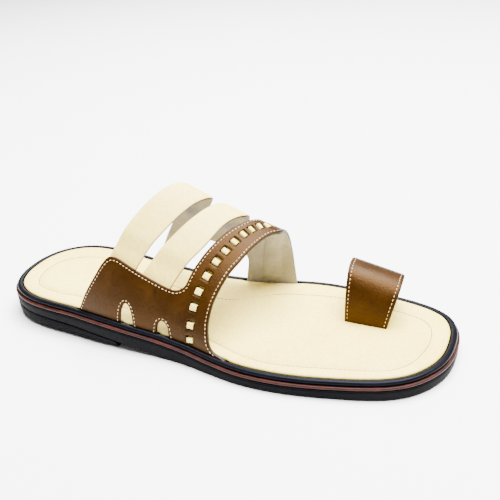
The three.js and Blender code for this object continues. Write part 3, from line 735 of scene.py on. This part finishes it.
edge_ring = full_ring(by_length(LATERAL, INSOLE_STEPS), by_length(MEDIAL, INSOLE_STEPS))
sewn_ring = full_ring(*(by_length(side, INSOLE_STEPS) for side in sewn_sides))
spine = [(-1.0 + 3.0 * smooth(-95, 60, y), y) for y in
         (-96 + 186 * k / INSOLE_STEPS for k in range(INSOLE_STEPS + 1))]
spine_ring = full_ring(spine, spine)
edge_sides = [LATERAL] * (INSOLE_STEPS + 1) + [MEDIAL] * (INSOLE_STEPS - 1)

# share of the way, height above the insole edge; first edge to line, then line to the middle
BORDER = [(0.0, -1.2), (0.0, -0.6), (0.02, -0.15), (0.08, 0.2), (0.2, 0.55), (0.38, 0.85),
          (0.56, 0.95), (0.72, 0.9), (0.85, 0.65), (0.94, 0.25), (1.0, 0.05)]
CUSHION = [(0.6, 0.15), (1.6, 0.65), (3.0, 1.15), (5.0, 1.5), (8.0, 1.7), (12.0, 1.8)]
rows = []
for share, height in BORDER:
    row = []
    for a, b, side in zip(edge_ring, sewn_ring, edge_sides):
        back = 0.1 + 0.75 * beside_upper(side, a[1])
        length = max(math.dist(a, b), 1e-6)
        s = max(share, 0.0) * (1 - back / length) + back / length
        x, y = a[0] + (b[0] - a[0]) * s, a[1] + (b[1] - a[1]) * s
        row.append((x, y, edge_height(y) + height))
    rows.append(row)
for inwards, height in CUSHION:
    row = []
    for a, b in zip(sewn_ring, spine_ring):
        length = max(math.dist(a, b), 1e-6)
        s = min(inwards / length, 0.95)
        x, y = a[0] + (b[0] - a[0]) * s, a[1] + (b[1] - a[1]) * s
        row.append((x, y, edge_height(y) + height))
    rows.append(row)
cushion_end = rows[-1]
for share in (0.55, 0.75, 0.9, 1.0):
    row = []
    for (x0, y0, _), b in zip(cushion_end, spine_ring):
        s = (share - 0.4) / 0.6 if share < 1 else 1.0
        x, y = x0 + (b[0] - x0) * s, y0 + (b[1] - y0) * s
        row.append((x, y, edge_height(y) + 1.8 + 0.1 * s))
    rows.append(row)
INSOLE_RING = len(edge_ring)
points, faces = [p for row in rows for p in row], []
for r in range(len(rows) - 1):
    for i in range(INSOLE_RING):
        j = (i + 1) % INSOLE_RING
        faces.append((r * INSOLE_RING + i, r * INSOLE_RING + j,
                      (r + 1) * INSOLE_RING + j, (r + 1) * INSOLE_RING + i))
for k in range(INSOLE_STEPS):
    corners = [k, k + 1, INSOLE_RING - k - 1, (INSOLE_RING - k) % INSOLE_RING]
    corners = [v for n, v in enumerate(corners) if v != corners[(n + 1) % 4]]
    faces.append(tuple(reversed(corners)))
insole = make_piece("padded_insole", points, faces, [insole_leather])
skin = bmesh.new()
skin.from_mesh(insole.data)
bmesh.ops.remove_doubles(skin, verts=skin.verts, dist=0.00005)
skin.to_mesh(insole.data)
skin.free()
dress(insole, "insole")

# %% [markdown]
# ## The brown upper
#
# A shoemaker cuts the upper flat and bends it over the last. This does the same: the outline is
# drawn flat, the square windows for the ribbon are left open, the sheet is cut into small cells
# and each point is carried onto the last. A narrow band of faces along every cut edge is let
# down a little, so the edge looks softly rounded. The outside is brown calf, the inside is the
# grey lining, and the wall between them is the inked cut edge.

# %% Ribbon line and windows
def ribbon_y(t):
    return look_up(RIBBON_ROWS, 1, t)


ribbon_ts = [i / 600 for i in range(601)]
ribbon_run = [0.0]
for a, b in zip(ribbon_ts, ribbon_ts[1:]):
    ribbon_run.append(ribbon_run[-1] + (last_point(a, ribbon_y(a))
                                        - last_point(b, ribbon_y(b))).length)


def ribbon_t(s):
    i = min(max(bisect.bisect_left(ribbon_run, s), 1), 600)
    a, b = ribbon_run[i - 1], ribbon_run[i]
    return (i - 1 + (s - a) / (b - a)) / 600


def ribbon_spot(s, across):
    """The flat place (t, y) that lies 'across' millimetres beside the ribbon's middle."""
    t = ribbon_t(s)
    y = ribbon_y(t)
    ahead, behind = ribbon_t(s + 1), ribbon_t(s - 1)
    tangent = (last_point(ahead, ribbon_y(ahead))
               - last_point(behind, ribbon_y(behind))).normalized()
    sideways = last_normal(t, y).cross(tangent).normalized()
    per_t = (last_point(t + 0.004, y) - last_point(t - 0.004, y)) * 125
    per_y = last_point(t, y + 0.5) - last_point(t, y - 0.5)
    tt, ty, yy = per_t.dot(per_t), per_t.dot(per_y), per_y.dot(per_y)
    a, b, det = per_t.dot(sideways), per_y.dot(sideways), tt * yy - ty * ty
    return t + (a * yy - b * ty) / det * across, y + (b * tt - a * ty) / det * across


window_stations = [(ribbon_run[round(t * 600)], length / 2) for t, length in WINDOW_ROWS]
print("ribbon length over the last:", round(ribbon_run[-1], 1), "mm")

# %% Flat pattern of the upper
def spline(rows, per_row=4):
    """An open uniform Catmull-Rom curve through the rows, in flat millimetres."""
    flat = [(-t * FLAT, y) for t, y in rows]
    n, made = len(flat), []
    count = n * per_row
    for d in range(count + 1):
        p = (n - 1) * d / count
        i = min(int(p), n - 1)
        w = p - i
        p0, p1 = flat[max(i - 1, 0)], flat[i]
        p2, p3 = flat[min(i + 1, n - 1)], flat[min(i + 2, n - 1)]
        spot = []
        for a in (0, 1):
            v0, v1 = (p2[a] - p0[a]) / 2, (p3[a] - p1[a]) / 2
            spot.append((2 * p1[a] - 2 * p2[a] + v0 + v1) * w ** 3
                        + (-3 * p1[a] + 3 * p2[a] - 2 * v0 - v1) * w * w + v0 * w + p1[a])
        made.append(tuple(spot))
    return made


def set_off(line, distance, closed):
    """The line moved sideways, to the left of its direction for a positive distance."""
    n, made = len(line), []
    for i, p in enumerate(line):
        a = line[(i - 1) % n] if closed or i else p
        b = line[(i + 1) % n] if closed or i < n - 1 else p
        first = Vector((p[0] - a[0], p[1] - a[1]))
        second = Vector((b[0] - p[0], b[1] - p[1]))
        first = (first if first.length > 1e-6 else second).normalized()
        second = (second if second.length > 1e-6 else first).normalized()
        way = (first + second).normalized()
        reach = distance / max(way.dot(first), 0.5)
        made.append((p[0] - way.y * reach, p[1] + way.x * reach))
    return made


def thinned(line, least=0.35, closed=True):
    made = [line[0]]
    for p in line[1:]:
        if math.dist(p, made[-1]) > least:
            made.append(p)
    if closed and math.dist(made[0], made[-1]) < least:
        made.pop()
    return made


top_run = spline(LATERAL_REAR + LATERAL_TOP + BAND_REAR + MEDIAL_TOP + MEDIAL_REAR)
edge_runs = {"top": top_run, "medial_opening": spline(MEDIAL_OPENING),
             "band_front": spline(BAND_FRONT), "front_arch": spline(FRONT_ARCH),
             "rear_arch": spline(REAR_ARCH)}
pattern = thinned([p for run in edge_runs.values() for p in run])
area = sum(a[0] * b[1] - b[0] * a[1] for a, b in zip(pattern, pattern[1:] + pattern[:1])) / 2
inside_left = 1 if area > 0 else -1
windows = []
for s, l in window_stations:
    w = WINDOW_WIDTH / 2
    corners = [(-l, -w), (l, -w), (l, w), (-l, w)]
    hole = []
    for (s0, a0), (s1, a1) in zip(corners, corners[1:] + corners[:1]):
        for k in range(3):
            f = k / 3
            t, y = ribbon_spot(s + s0 + (s1 - s0) * f, a0 + (a1 - a0) * f)
            hole.append((-t * FLAT, y))
    turn = sum(a[0] * b[1] - b[0] * a[1] for a, b in zip(hole, hole[1:] + hole[:1]))
    windows.append(hole if turn < 0 else hole[::-1])
print("flat pattern:", len(pattern), "points,", round(abs(area)), "square millimetres")

# %% The sheet cut into cells
BEVEL = 0.45             # let down along the cut edges
CELL = 2.0               # longest side of a cell
if inside_left < 0:
    pattern = pattern[::-1]
loops = [pattern] + windows
inner_loops = [set_off(loop, BEVEL, True) for loop in loops]
sheet = bmesh.new()
ring_verts = []
for loop, inner in zip(loops, inner_loops):
    outer_verts = [sheet.verts.new((x, y, 0)) for x, y in loop]
    inner_verts = [sheet.verts.new((x, y, 0)) for x, y in inner]
    n = len(loop)
    for i in range(n):
        sheet.faces.new((outer_verts[i], outer_verts[(i + 1) % n],
                         inner_verts[(i + 1) % n], inner_verts[i]))
    ring_verts.extend(inner_verts)
for a, b, c in tessellate_polygon([[Vector((x, y, 0)) for x, y in loop] for loop in inner_loops]):
    try:
        sheet.faces.new((ring_verts[a], ring_verts[b], ring_verts[c]))
    except ValueError:
        pass
for axis, low, high in ((0, -FLAT - 2, 2), (1, -78, 38)):
    place = low
    while place < high:
        co, no = [0.0, 0.0, 0.0], [0.0, 0.0, 0.0]
        co[axis], no[axis] = place + 0.013, 1.0
        bmesh.ops.bisect_plane(sheet, geom=sheet.verts[:] + sheet.edges[:] + sheet.faces[:],
                               dist=0.02, plane_co=co, plane_no=no)
        place += CELL
bmesh.ops.dissolve_degenerate(sheet, dist=0.01, edges=sheet.edges[:])
for face in sheet.faces:
    face.normal_update()
    if face.normal.z < 0:
        face.normal_flip()
print("cells in the sheet:", len(sheet.faces))

# %% The sheet bent over the last
sheet.verts.index_update()
flat_places = [(v.co.x, v.co.y) for v in sheet.verts]
on_edge = [any(e.is_boundary for e in v.link_edges) for v in sheet.verts]
near_edge = [flag or any(on_edge[e.other_vert(v).index] for e in v.link_edges)
             for v, flag in zip(sheet.verts, on_edge)]
outer, inner, rim = [], [], []
for (x, y), edge, near in zip(flat_places, on_edge, near_edge):
    outer.append(on_last(-x / FLAT, y, 0.32 if edge else 0.0))
    inner.append(on_last(-x / FLAT, y, LEATHER - (0.15 if edge else 0.0)))
    rim.append(1.0 if edge else 0.35 if near else 0.0)
count = len(outer)
faces, indices = [], []
for face in sheet.faces:
    corners = [v.index for v in face.verts]
    faces.append(tuple(corners))
    indices.append(0)
    faces.append(tuple(c + count for c in reversed(corners)))
    indices.append(1)
    for loop in face.loops:
        if loop.edge.is_boundary:
            a, b = loop.vert.index, loop.link_loop_next.vert.index
            faces.append((b, a, a + count, b + count))
            indices.append(2)
sheet.free()
upper = make_piece("brown_upper", outer + inner, faces,
                   [brown_leather, lining_leather, edge_ink], indices, rim * 2)
dress(upper, "upper")

# %% [markdown]
# ## The cream straps
#
# Two broad straps of painted calf cross the instep. They lie on the foot in the open and dip
# under the brown leather at both ends, where they are sewn in. Across its width a strap is
# slightly crowned, because the lining is a little narrower than the leather, and its edges turn
# down softly.

# %% Straps
ACROSS = [(0.0, 0.34), (0.02, 0.12), (0.05, 0.02), (0.12, -0.02), (0.25, -0.1), (0.4, -0.16),
          (0.5, -0.18), (0.6, -0.16), (0.75, -0.1), (0.88, -0.02), (0.95, 0.02), (0.98, 0.12),
          (1.0, 0.34)]


def strap(name, rows, node):
    steps, grid = 130, []
    for i in range(steps + 1):
        t = rows[0][0] + (rows[-1][0] - rows[0][0]) * i / steps
        rear, front = look_up(rows, 1, t), look_up(rows, 2, t)
        open_here = smooth(0.2, 0.25, t) * (1 - smooth(0.73, 0.765, t))
        depth = LEATHER + 0.3 + (0.2 - LEATHER - 0.3) * open_here
        line = []
        for share, drop in ACROSS:
            y = rear + (front - rear) * share
            crown = drop if drop > 0 else drop * open_here
            under = -0.12 if share in (0.0, 1.0) else 0.0
            line.append((on_last(t, y, depth + crown), on_last(t, y, depth + STRAP + under),
                         1.0 if share in (0.0, 1.0) else 0.0))
        grid.append(line)
    return lined_sheet(name, grid, [cream_leather, lining_leather, strap_edge],
                       node)


rear_strap = strap("cream_rear_strap", REAR_STRAP_ROWS, "rear_strap")
front_strap = strap("cream_front_strap", FRONT_STRAP_ROWS, "front_strap")

# %% [markdown]
# ## The woven ribbon
#
# A narrow cream ribbon runs under the band and comes up through each window, like lacing. Its
# height along the band is a row of smooth humps, so a sheet with a fine step along its length
# gives every square its round shoulders and a dark slit at its ends.

# %% Ribbon
def ribbon_depth(s):
    low, high = LEATHER + 0.3, -0.15
    middle, half = min(window_stations, key=lambda window: abs(window[0] - s))
    away, half = s - middle, half - 0.2
    up = smooth(-half, -half + 0.9, away) * (1 - smooth(half - 1.5, half - 0.5, away))
    dome = 0.22 * max(0.0, 1 - (away / half) ** 2)
    return low + (high - dome - low) * up


grid = []
s = 1.1
while s < window_stations[-1][0] + 7:
    depth = ribbon_depth(s)
    line = []
    for across, drop in ((0.5, 0.2), (0.46, 0.05), (0.36, 0.0), (0.0, -0.06), (-0.36, 0.0),
                         (-0.46, 0.05), (-0.5, 0.2)):
        t, y = ribbon_spot(s, -across * RIBBON_WIDTH)
        line.append((on_last(t, y, depth + drop), on_last(t, y, depth + RIBBON),
                     1.0 if abs(across) == 0.5 else 0.0))
    grid.append(line)
    s += 0.35
ribbon = lined_sheet("woven_cream_ribbon", grid, [cream_leather, lining_leather, strap_edge],
                     "woven_ribbon")

# %% [markdown]
# ## The band's lining
#
# On the inside a thin strip of lining leather covers the weave, glued down on both sides of it,
# so that the foot only feels a soft ridge. It follows the ribbon's line one step deeper.

# %% Strip of lining under the weave
grid = []
s = 3.0
while s < ribbon_run[-1] - 4:
    line = []
    for across, depth in ((6.0, 1.9), (5.2, 2.2), (3.4, 3.2), (1.5, 3.35), (-1.5, 3.35),
                          (-3.4, 3.2), (-5.2, 2.2), (-6.0, 1.9)):
        t, y = ribbon_spot(s, across)
        line.append((on_last(t, y, depth), on_last(t, y, depth + 0.4), 0.0))
    grid.append(line)
    s += 2.0
points = [cell[0] for row in grid for cell in row] + [cell[1] for row in grid for cell in row]
columns = len(grid[0])
inner_side = len(grid) * columns
faces = []
for i in range(len(grid) - 1):
    for a in range(i * columns, (i + 1) * columns - 1):
        quad = (a, a + 1, a + 1 + columns, a + columns)
        faces.append(quad)
        faces.append((quad[0] + inner_side, quad[3] + inner_side, quad[2] + inner_side,
                      quad[1] + inner_side))
band_lining = make_piece("band_lining", points, faces, [lining_leather])
shell = bmesh.new()
shell.from_mesh(band_lining.data)
open_edges = [e for e in shell.edges if e.is_boundary]
bmesh.ops.bridge_loops(shell, edges=open_edges)
bmesh.ops.recalc_face_normals(shell, faces=shell.faces[:])
shell.to_mesh(band_lining.data)
shell.free()
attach(band_lining, "root")

# %% [markdown]
# ## The toe loop
#
# A short brown band stands over the big toe, with both feet sunk into the insole. Its
# two edges are flattened arches of different height, and the band is stretched between them.

# %% Toe loop
LOOP_STEPS = 96


def loop_point(share, j):
    angle = math.pi * share
    c, s = math.cos(angle), max(math.sin(angle), 0.0)
    made = []
    for lateral, medial, lateral_y, medial_y, height, lean in LOOP_EDGES:
        made.append(Vector((
            (lateral + medial) / 2
            + (lateral - medial) / 2 * math.copysign(abs(c) ** (2 / LOOP_POWER), c),
            lateral_y + (medial_y - lateral_y) * (1 - c) / 2 + lean * s,
            height * s ** (2 / LOOP_POWER))))
    p = made[0].lerp(made[1], j)
    p.z += edge_height(p.y) + 0.2
    return p


def loop_normal(i, j):
    if i in (0, LOOP_STEPS):
        return Vector((1.0 if i == 0 else -1.0, 0, 0))
    over = (loop_point(min(i + 0.5, LOOP_STEPS) / LOOP_STEPS, j)
            - loop_point(max(i - 0.5, 0) / LOOP_STEPS, j))
    along = loop_point(i / LOOP_STEPS, j + 0.1) - loop_point(i / LOOP_STEPS, j - 0.1)
    return along.cross(over).normalized()


LOOP_ACROSS = [(0.0, 0.35), (0.018, 0.1), (0.05, 0.0), (0.2, -0.05), (0.4, -0.1), (0.6, -0.1),
               (0.8, -0.05), (0.95, 0.0), (0.982, 0.1), (1.0, 0.35)]
grid = []
for i in range(LOOP_STEPS + 1):
    line = []
    for j, drop in LOOP_ACROSS:
        p, n = loop_point(i / LOOP_STEPS, j), loop_normal(i, j)
        line.append((p + n * (LOOP / 2 - drop), p - n * (LOOP / 2 - max(drop, 0) * 0.5),
                     1.0 if j in (0.0, 1.0) else 0.0))
    grid.append(line)
low = Vector((0, 0, -1.1))
grid = ([[(o + low, n + low, r) for o, n, r in grid[0]]] + grid
        + [[(o + low, n + low, r) for o, n, r in grid[-1]]])
toe_loop = lined_sheet("brown_toe_loop", grid, [brown_leather, lining_leather, edge_ink],
                       "toe_loop")

# %% [markdown]
# ## Stitching
#
# A lockstitch shows as a row of short grains of thread, each pulled into the leather at both
# ends, 2.3 to 2.6 mm apart. Between two of them the needle's hole shows as a dark dot, drawn as a
# small black bead: painted shade for the hole's dark inside. Several hundred of them repeat one
# small shape along a line, which is just what Geometry Nodes are for: the tree turns a line into
# evenly spaced points, puts a grain on each, turned along the line, and a dark bead of painted
# hole shade half a pitch further on. Pitch, length and thickness are inputs of the tree.

# %% The stitch row tree
def stitch_tree(name, material):
    tree = bpy.data.node_groups.new(name, "GeometryNodeTree")
    tree.interface.new_socket("Geometry", in_out="INPUT", socket_type="NodeSocketGeometry")
    for label, value in (("Pitch", 0.0028), ("Stitch length", 0.0019), ("Thread", 0.0006)):
        socket = tree.interface.new_socket(label, in_out="INPUT", socket_type="NodeSocketFloat")
        socket.default_value = value
    tree.interface.new_socket("Geometry", in_out="OUTPUT", socket_type="NodeSocketGeometry")
    source = add_node(tree, "NodeGroupInput")
    curve = add_node(tree, "GeometryNodeMeshToCurve", None, {"Mesh": source.outputs["Geometry"]})
    even = add_node(tree, "GeometryNodeResampleCurve", {"mode": "LENGTH"}, {
        "Curve": curve.outputs["Curve"], "Length": source.outputs["Pitch"]})
    grain = add_node(tree, "GeometryNodeMeshUVSphere", None, {
        "Segments": 8, "Rings": 6, "Radius": 0.5})
    size = add_node(tree, "ShaderNodeCombineXYZ", None, {
        "X": source.outputs["Thread"], "Y": source.outputs["Thread"],
        "Z": source.outputs["Stitch length"]})
    shaped = add_node(tree, "GeometryNodeTransform", None, {
        "Geometry": grain.outputs["Mesh"], "Scale": size.outputs["Vector"]})
    along = add_node(tree, "GeometryNodeInputTangent")
    half_pitch = add_node(tree, "ShaderNodeMath", {"operation": "MULTIPLY"}, {
        0: source.outputs["Pitch"], 1: 0.5})
    step = add_node(tree, "ShaderNodeVectorMath", {"operation": "SCALE"}, {
        0: along.outputs["Tangent"], "Scale": half_pitch.outputs["Value"]})
    between = add_node(tree, "GeometryNodeSetPosition", None, {
        "Geometry": even.outputs["Curve"], "Offset": step.outputs["Vector"]})
    # a dark bead half a pitch on from each grain: painted shade for the needle hole
    pin = add_node(tree, "GeometryNodeMeshUVSphere", None, {
        "Segments": 6, "Rings": 4, "Radius": 0.5})
    pin_size = add_node(tree, "ShaderNodeMath", {"operation": "MULTIPLY"}, {
        0: source.outputs["Thread"], 1: 0.8})
    pinned = add_node(tree, "GeometryNodeInstanceOnPoints", None, {
        "Points": between.outputs["Geometry"], "Instance": pin.outputs["Mesh"],
        "Scale": pin_size.outputs["Value"]})
    hole_shade_dots = add_node(tree, "GeometryNodeSetMaterial", None, {
        "Geometry": pinned.outputs["Instances"], "Material": needle_hole_shade})
    turned = add_node(tree, "FunctionNodeAlignRotationToVector", {"axis": "Z"}, {
        "Vector": along.outputs["Tangent"]})
    row = add_node(tree, "GeometryNodeInstanceOnPoints", None, {
        "Points": even.outputs["Curve"], "Instance": shaped.outputs["Geometry"],
        "Rotation": turned.outputs["Rotation"]})
    threads = add_node(tree, "GeometryNodeSetMaterial", None, {
        "Geometry": row.outputs["Instances"], "Material": material})
    both = add_node(tree, "GeometryNodeJoinGeometry")
    tree.links.new(threads.outputs["Geometry"], both.inputs[0])
    tree.links.new(hole_shade_dots.outputs["Geometry"], both.inputs[0])
    real = add_node(tree, "GeometryNodeRealizeInstances", None, {
        "Geometry": both.outputs["Geometry"]})
    soft = add_node(tree, "GeometryNodeSetShadeSmooth", None, {
        "Geometry": real.outputs["Geometry"]})
    add_node(tree, "NodeGroupOutput", None, {"Geometry": soft.outputs["Geometry"]})
    return tree


def sew(name, lines, tree, sizes):
    """Stitches along lines of points in millimetres, as one plain mesh."""
    points, edges = [], []
    for line in lines:
        start = len(points)
        points.extend(tuple(c / 1000 for c in p) for p in line)
        edges.extend((start + i, start + i + 1) for i in range(len(line) - 1))
    mesh = bpy.data.meshes.new(name + "_line")
    mesh.from_pydata(points, edges, [])
    guide = bpy.data.objects.new(name + "_line", mesh)
    bpy.context.scene.collection.objects.link(guide)
    modifier = guide.modifiers.new("stitches", "NODES")
    modifier.node_group = tree
    sockets = {item.name: item.identifier for item in tree.interface.items_tree
               if item.in_out == "INPUT"}
    for label, value in zip(("Pitch", "Stitch length", "Thread"), sizes):
        modifier[sockets[label]] = value / 1000
    ready = guide.evaluated_get(bpy.context.evaluated_depsgraph_get())
    plain = bpy.data.meshes.new_from_object(ready)
    piece = bpy.data.objects.new(name, plain)
    bpy.context.scene.collection.objects.link(piece)
    bpy.data.objects.remove(guide)
    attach(piece, "root")
    print(name, "has", len(plain.polygons) // 72, "stitches")
    return piece


upper_stitch = stitch_tree("upper_stitch_row", pale_thread)
insole_stitch = stitch_tree("insole_stitch_row", insole_thread)

# %% Stitches on the upper
SEAM = 1.45              # seam inside the cut edge
SEAM_END = 0.006         # share of the way over the foot that a seam keeps from the insole
LIFT = 0.05              # the thread's middle above the leather
UPPER_STITCH = (2.3, 1.35, 0.36)           # pitch, length of a stitch, thread


def seam(run):
    """A seam beside a cut edge, from the flat pattern to the last."""
    places = [(-x / FLAT, y) for x, y in set_off(run, SEAM * inside_left, False)]
    return [on_last(t, y, -LIFT) for t, y in places if SEAM_END < t < 1 - SEAM_END]


seams = [seam(run) for run in edge_runs.values()]
upper_stitches = sew("upper_stitches", seams, upper_stitch, UPPER_STITCH)

# %% Stitches on the toe loop and the insole
LOOP_SEAMS = (0.065, 0.935)                # share of the loop's width
INSOLE_STITCH = (2.6, 1.8, 0.62)           # pitch, length of a stitch, thread
loop_seams = [[loop_point(i / LOOP_STEPS, j) + loop_normal(i, j) * (LOOP / 2 + LIFT)
               for i in range(3, LOOP_STEPS - 2)] for j in LOOP_SEAMS]
loop_stitches = sew("toe_loop_stitches", loop_seams, upper_stitch, UPPER_STITCH)
sewn_line = [(x, y, edge_height(y) + 0.12) for x, y in sewn_ring + sewn_ring[:1]]
insole_stitches = sew("insole_stitches", [sewn_line], insole_stitch, INSOLE_STITCH)

# %% [markdown]
# ## Floor, light and camera
#
# The sandal stands on a plain pale floor under soft studio light: a broad softbox above, a small
# one behind the heel on the inner side, and a dim white sky that opens the shadows. Little light
# comes from the outer side, so the brown panel keeps its deep colour there. The camera has the
# place, turn and roll worked out from the sandal's own edges.

# %% Floor
ground = bpy.data.meshes.new("floor")
ground.from_pydata([(-6, -6, 0), (6, -6, 0), (6, 6, 0), (-6, 6, 0)], [], [(0, 1, 2, 3)])
floor = bpy.data.objects.new("floor", ground)
bpy.context.scene.collection.objects.link(floor)
paper, tree = new_material("white_studio_paper")
place = add_node(tree, "ShaderNodeTexCoord").outputs["Object"]
fibre = add_node(tree, "ShaderNodeTexNoise", None, {"Vector": place, "Scale": 400.0})
tone = add_node(tree, "ShaderNodeMix", {"data_type": "RGBA"}, {
    0: fibre.outputs["Fac"], 6: linear("#f7f7f6"), 7: linear("#fafaf9")})
surface = add_node(tree, "ShaderNodeBsdfPrincipled", None, {
    "Base Color": tone.outputs[2], "Roughness": 0.9})
add_node(tree, "ShaderNodeOutputMaterial", None, {"Surface": surface.outputs["BSDF"]})
ground.materials.append(paper)

# %% Light
def softbox(name, place, target, size, power):
    lamp = bpy.data.lights.new(name, "AREA")
    lamp.shape, lamp.size, lamp.energy = "SQUARE", size, power
    box = bpy.data.objects.new(name, lamp)
    box.location = place
    box.rotation_euler = (Vector(target) - Vector(place)).to_track_quat("-Z", "Y").to_euler()
    bpy.context.scene.collection.objects.link(box)


softbox("top_softbox", (-0.25, 0.15, 1.4), (0, 0, 0), 1.3, 215.0)
softbox("rear_softbox", (-0.9, -0.5, 0.7), (0, 0, 0.02), 0.5, 8.0)
world = bpy.data.worlds.new("white_sky")
world.use_nodes = True
world.node_tree.nodes["Background"].inputs["Color"].default_value = (1, 1, 1, 1)
world.node_tree.nodes["Background"].inputs["Strength"].default_value = 0.28
bpy.context.scene.world = world

# %% Camera
AZIMUTH, ELEVATION, ROLL = math.radians(25.362), math.radians(31.753), math.radians(-3.686)
DISTANCE, AIM_X = 0.490095, -0.00184       # metres
PICTURE, FOCAL, CENTRE = 500, 775.985, (222.729, 323.461)    # pixels
SENSOR = 36              # millimetres
b = Vector((math.cos(ELEVATION) * math.cos(AZIMUTH), math.cos(ELEVATION) * math.sin(AZIMUTH),
            math.sin(ELEVATION)))
right = Vector((0, 0, 1)).cross(b).normalized()
up = b.cross(right)
right, up = (right * math.cos(ROLL) + up * math.sin(ROLL),
             up * math.cos(ROLL) - right * math.sin(ROLL))
camera_data = bpy.data.cameras.new("camera")
camera_data.sensor_width = SENSOR
camera_data.lens = FOCAL / PICTURE * SENSOR
camera_data.shift_x = (PICTURE / 2 - CENTRE[0]) / PICTURE
camera_data.shift_y = (CENTRE[1] - PICTURE / 2) / PICTURE
camera_data.clip_start = 0.01
camera = bpy.data.objects.new("camera", camera_data)
camera.matrix_world = Matrix((
    (right.x, up.x, b.x, AIM_X + b.x * DISTANCE),
    (right.y, up.y, b.y, b.y * DISTANCE),
    (right.z, up.z, b.z, b.z * DISTANCE),
    (0, 0, 0, 1)))
bpy.context.scene.collection.objects.link(camera)
bpy.context.scene.camera = camera
print("lens", round(camera_data.lens, 2), "mm")
